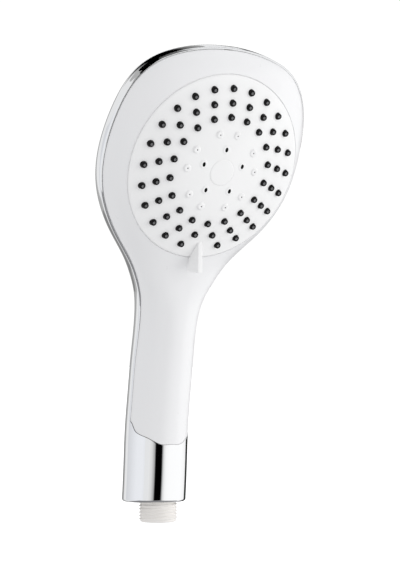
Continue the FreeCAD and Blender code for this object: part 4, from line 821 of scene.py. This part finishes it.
def ramp_card(name, az, el, dist, size, stops, tint=(1.0, 1.0, 1.0)):
    """Reflector seen only in glossy surfaces, its brightness graded from left to right."""
    o = card(name, around_camera(az, el, dist), size, MIDDLE, (0, 0, 0), 1.0, diffuse=False)
    m = o.data.materials[0]
    nt = m.node_tree
    e = [n for n in nt.nodes if n.type == "EMISSION"][0]
    tc = nt.nodes.new("ShaderNodeTexCoord")
    sp = nt.nodes.new("ShaderNodeSeparateXYZ")
    mr = nt.nodes.new("ShaderNodeMapRange")
    cr = nt.nodes.new("ShaderNodeValToRGB")
    nt.links.new(tc.outputs["Object"], sp.inputs[0])
    nt.links.new(sp.outputs[0], mr.inputs[0])
    mr.inputs[1].default_value = -size[0] / 2
    mr.inputs[2].default_value = size[0] / 2
    nt.links.new(mr.outputs[0], cr.inputs[0])
    el_ = cr.color_ramp.elements
    el_[0].position, el_[1].position = stops[0][0], stops[-1][0]
    for k, (_, v) in ((el_[0], stops[0]), (el_[1], stops[-1])):
        k.color = (v * tint[0], v * tint[1], v * tint[2], 1)
    for p, v in stops[1:-1]:
        k = el_.new(p)
        k.color = (v * tint[0], v * tint[1], v * tint[2], 1)
    nt.links.new(cr.outputs[0], e.inputs[0])
    e.inputs[1].default_value = 1.0
    return o


def dark_band(name, start, path, half, dist, level=0.0):
    """Curved dark strip at one distance from a point, running through directions given from the camera."""
    h = Vector((back.x, back.y, 0)).normalized()
    r = Vector((right.x, right.y, 0)).normalized()
    d = []
    for azimuth, elevation in path:
        a, e = math.radians(azimuth), math.radians(elevation)
        d.append(h * math.cos(a) * math.cos(e) + r * math.sin(a) * math.cos(e) + Vector((0, 0, 1)) * math.sin(e))
    d = np.array([v[:] for v in d])
    q = np.linspace(0, len(d) - 1, 61)
    p = Spline(np.arange(len(d), dtype=float), d)(q)[0]
    p /= np.linalg.norm(p, axis=1)[:, None]
    g = np.gradient(p, axis=0)
    side = np.cross(p, g)
    side /= np.linalg.norm(side, axis=1)[:, None]
    w = math.tan(math.radians(half)) * smooth(np.minimum(np.arange(61), 60 - np.arange(61)) / 7.0 + 0.15)
    v = np.concatenate([p - side * w[:, None], p + side * w[:, None]]) * dist + np.array(start)
    o = card(name, (0, 0, 0), (1, 1), (0, 0, -1), (level, level, level), 1.0, diffuse=False)
    m = o.data.materials[0]
    me = bpy.data.meshes.new(name + "_strip")
    me.from_pydata(v.tolist(), [], [(i, i + 1, i + 62, i + 61) for i in range(60)])
    me.materials.append(m)
    o.data = me
    o.location = (0, 0, 0)
    o.rotation_euler = (0, 0, 0)
    return o


LOWER = Vector((0.0, -0.01, 0.03))
MIDDLE, _keep = LOWER, MIDDLE
# stripe on the collar: from grey through black to white, seen from the left of the card to its right
ramp_card("flag_front", 20, -8, 1.3, (1.9, 1.3), [(0.0, 0.88), (0.18, 0.75), (0.30, 0.43), (0.352, 0.001), (0.612, 0.001), (0.646, 0.36), (0.70, 0.80), (0.80, 1.02), (1.0, 1.08)])
ramp_card("bright_right", 98, -4, 1.4, (2.6, 1.5), [(0.0, 1.08), (0.6, 1.1), (1.0, 0.95)])
ramp_card("soft_left", -78, -4, 1.4, (2.8, 1.5), [(0.0, 0.72), (0.3, 0.79), (0.6, 0.91), (0.85, 0.92), (1.0, 0.88)], tint=(0.975, 0.99, 1.03))
MIDDLE = _keep
ramp_card("flag_behind", 180, -8, 1.4, (2.3, 2.0), [(0.0, 0.03), (0.3, 0.04), (0.46, 0.10), (0.56, 0.32), (0.72, 0.36), (1.0, 0.5)])
ramp_card("flag_top_left", -156, 46, 1.3, (0.95, 0.62), [(0.0, 0.4), (0.2, 0.0), (0.7, 0.0), (0.85, 0.35), (1.0, 0.7)])
dark_band("flag_neck", (-0.045, -0.028, 0.155), [(-150, -11), (-157, -8.2), (-165, -5)], 3.0, 1.3, 0.24)
HEAD_LEFT = (-0.045, -0.067, 0.24)
dark_band("flag_over", HEAD_LEFT, [(23, 6), (9, 27), (-10, 46), (-40, 61), (-95, 71), (-134, 62), (-154, 53)], 16.0, 1.25)
dark_band("shade_over", HEAD_LEFT, [(44, 16), (38, 40), (33, 60), (-20, 84), (-150, 70), (-166, 52)], 14.0, 1.3, 0.15)
dark_band("fade_left", HEAD_LEFT, [(4, 0), (-14, 22), (-36, 40), (-68, 52), (-112, 48), (-134, 42)], 9.5, 1.3, 0.46)
card("flag_under", (-0.03, -0.05, -0.13), (0.42, 0.42), MIDDLE, (0.24, 0.24, 0.25), 1.0, diffuse=False)


def soft_light(name, loc, size, power, look=MIDDLE):
    d = bpy.data.lights.new(name, "AREA")
    d.shape = "RECTANGLE"
    d.size, d.size_y = size
    d.energy = power
    o = bpy.data.objects.new(name, d)
    bpy.context.scene.collection.objects.link(o)
    o.location = loc
    o.rotation_euler = (Vector(look) - Vector(loc)).to_track_quat("-Z", "Y").to_euler()
    o.visible_glossy = False
    d.color = (1.0, 0.995, 0.975)
    return o


soft_light("key", around_camera(84, 5, 1.8), (1.8, 1.8), 14.3)

sc = bpy.context.scene
sc.view_settings.view_transform = "Standard"
sc.view_settings.look = "None"
sc.view_settings.exposure = 0.0
sc.view_settings.gamma = 1.0
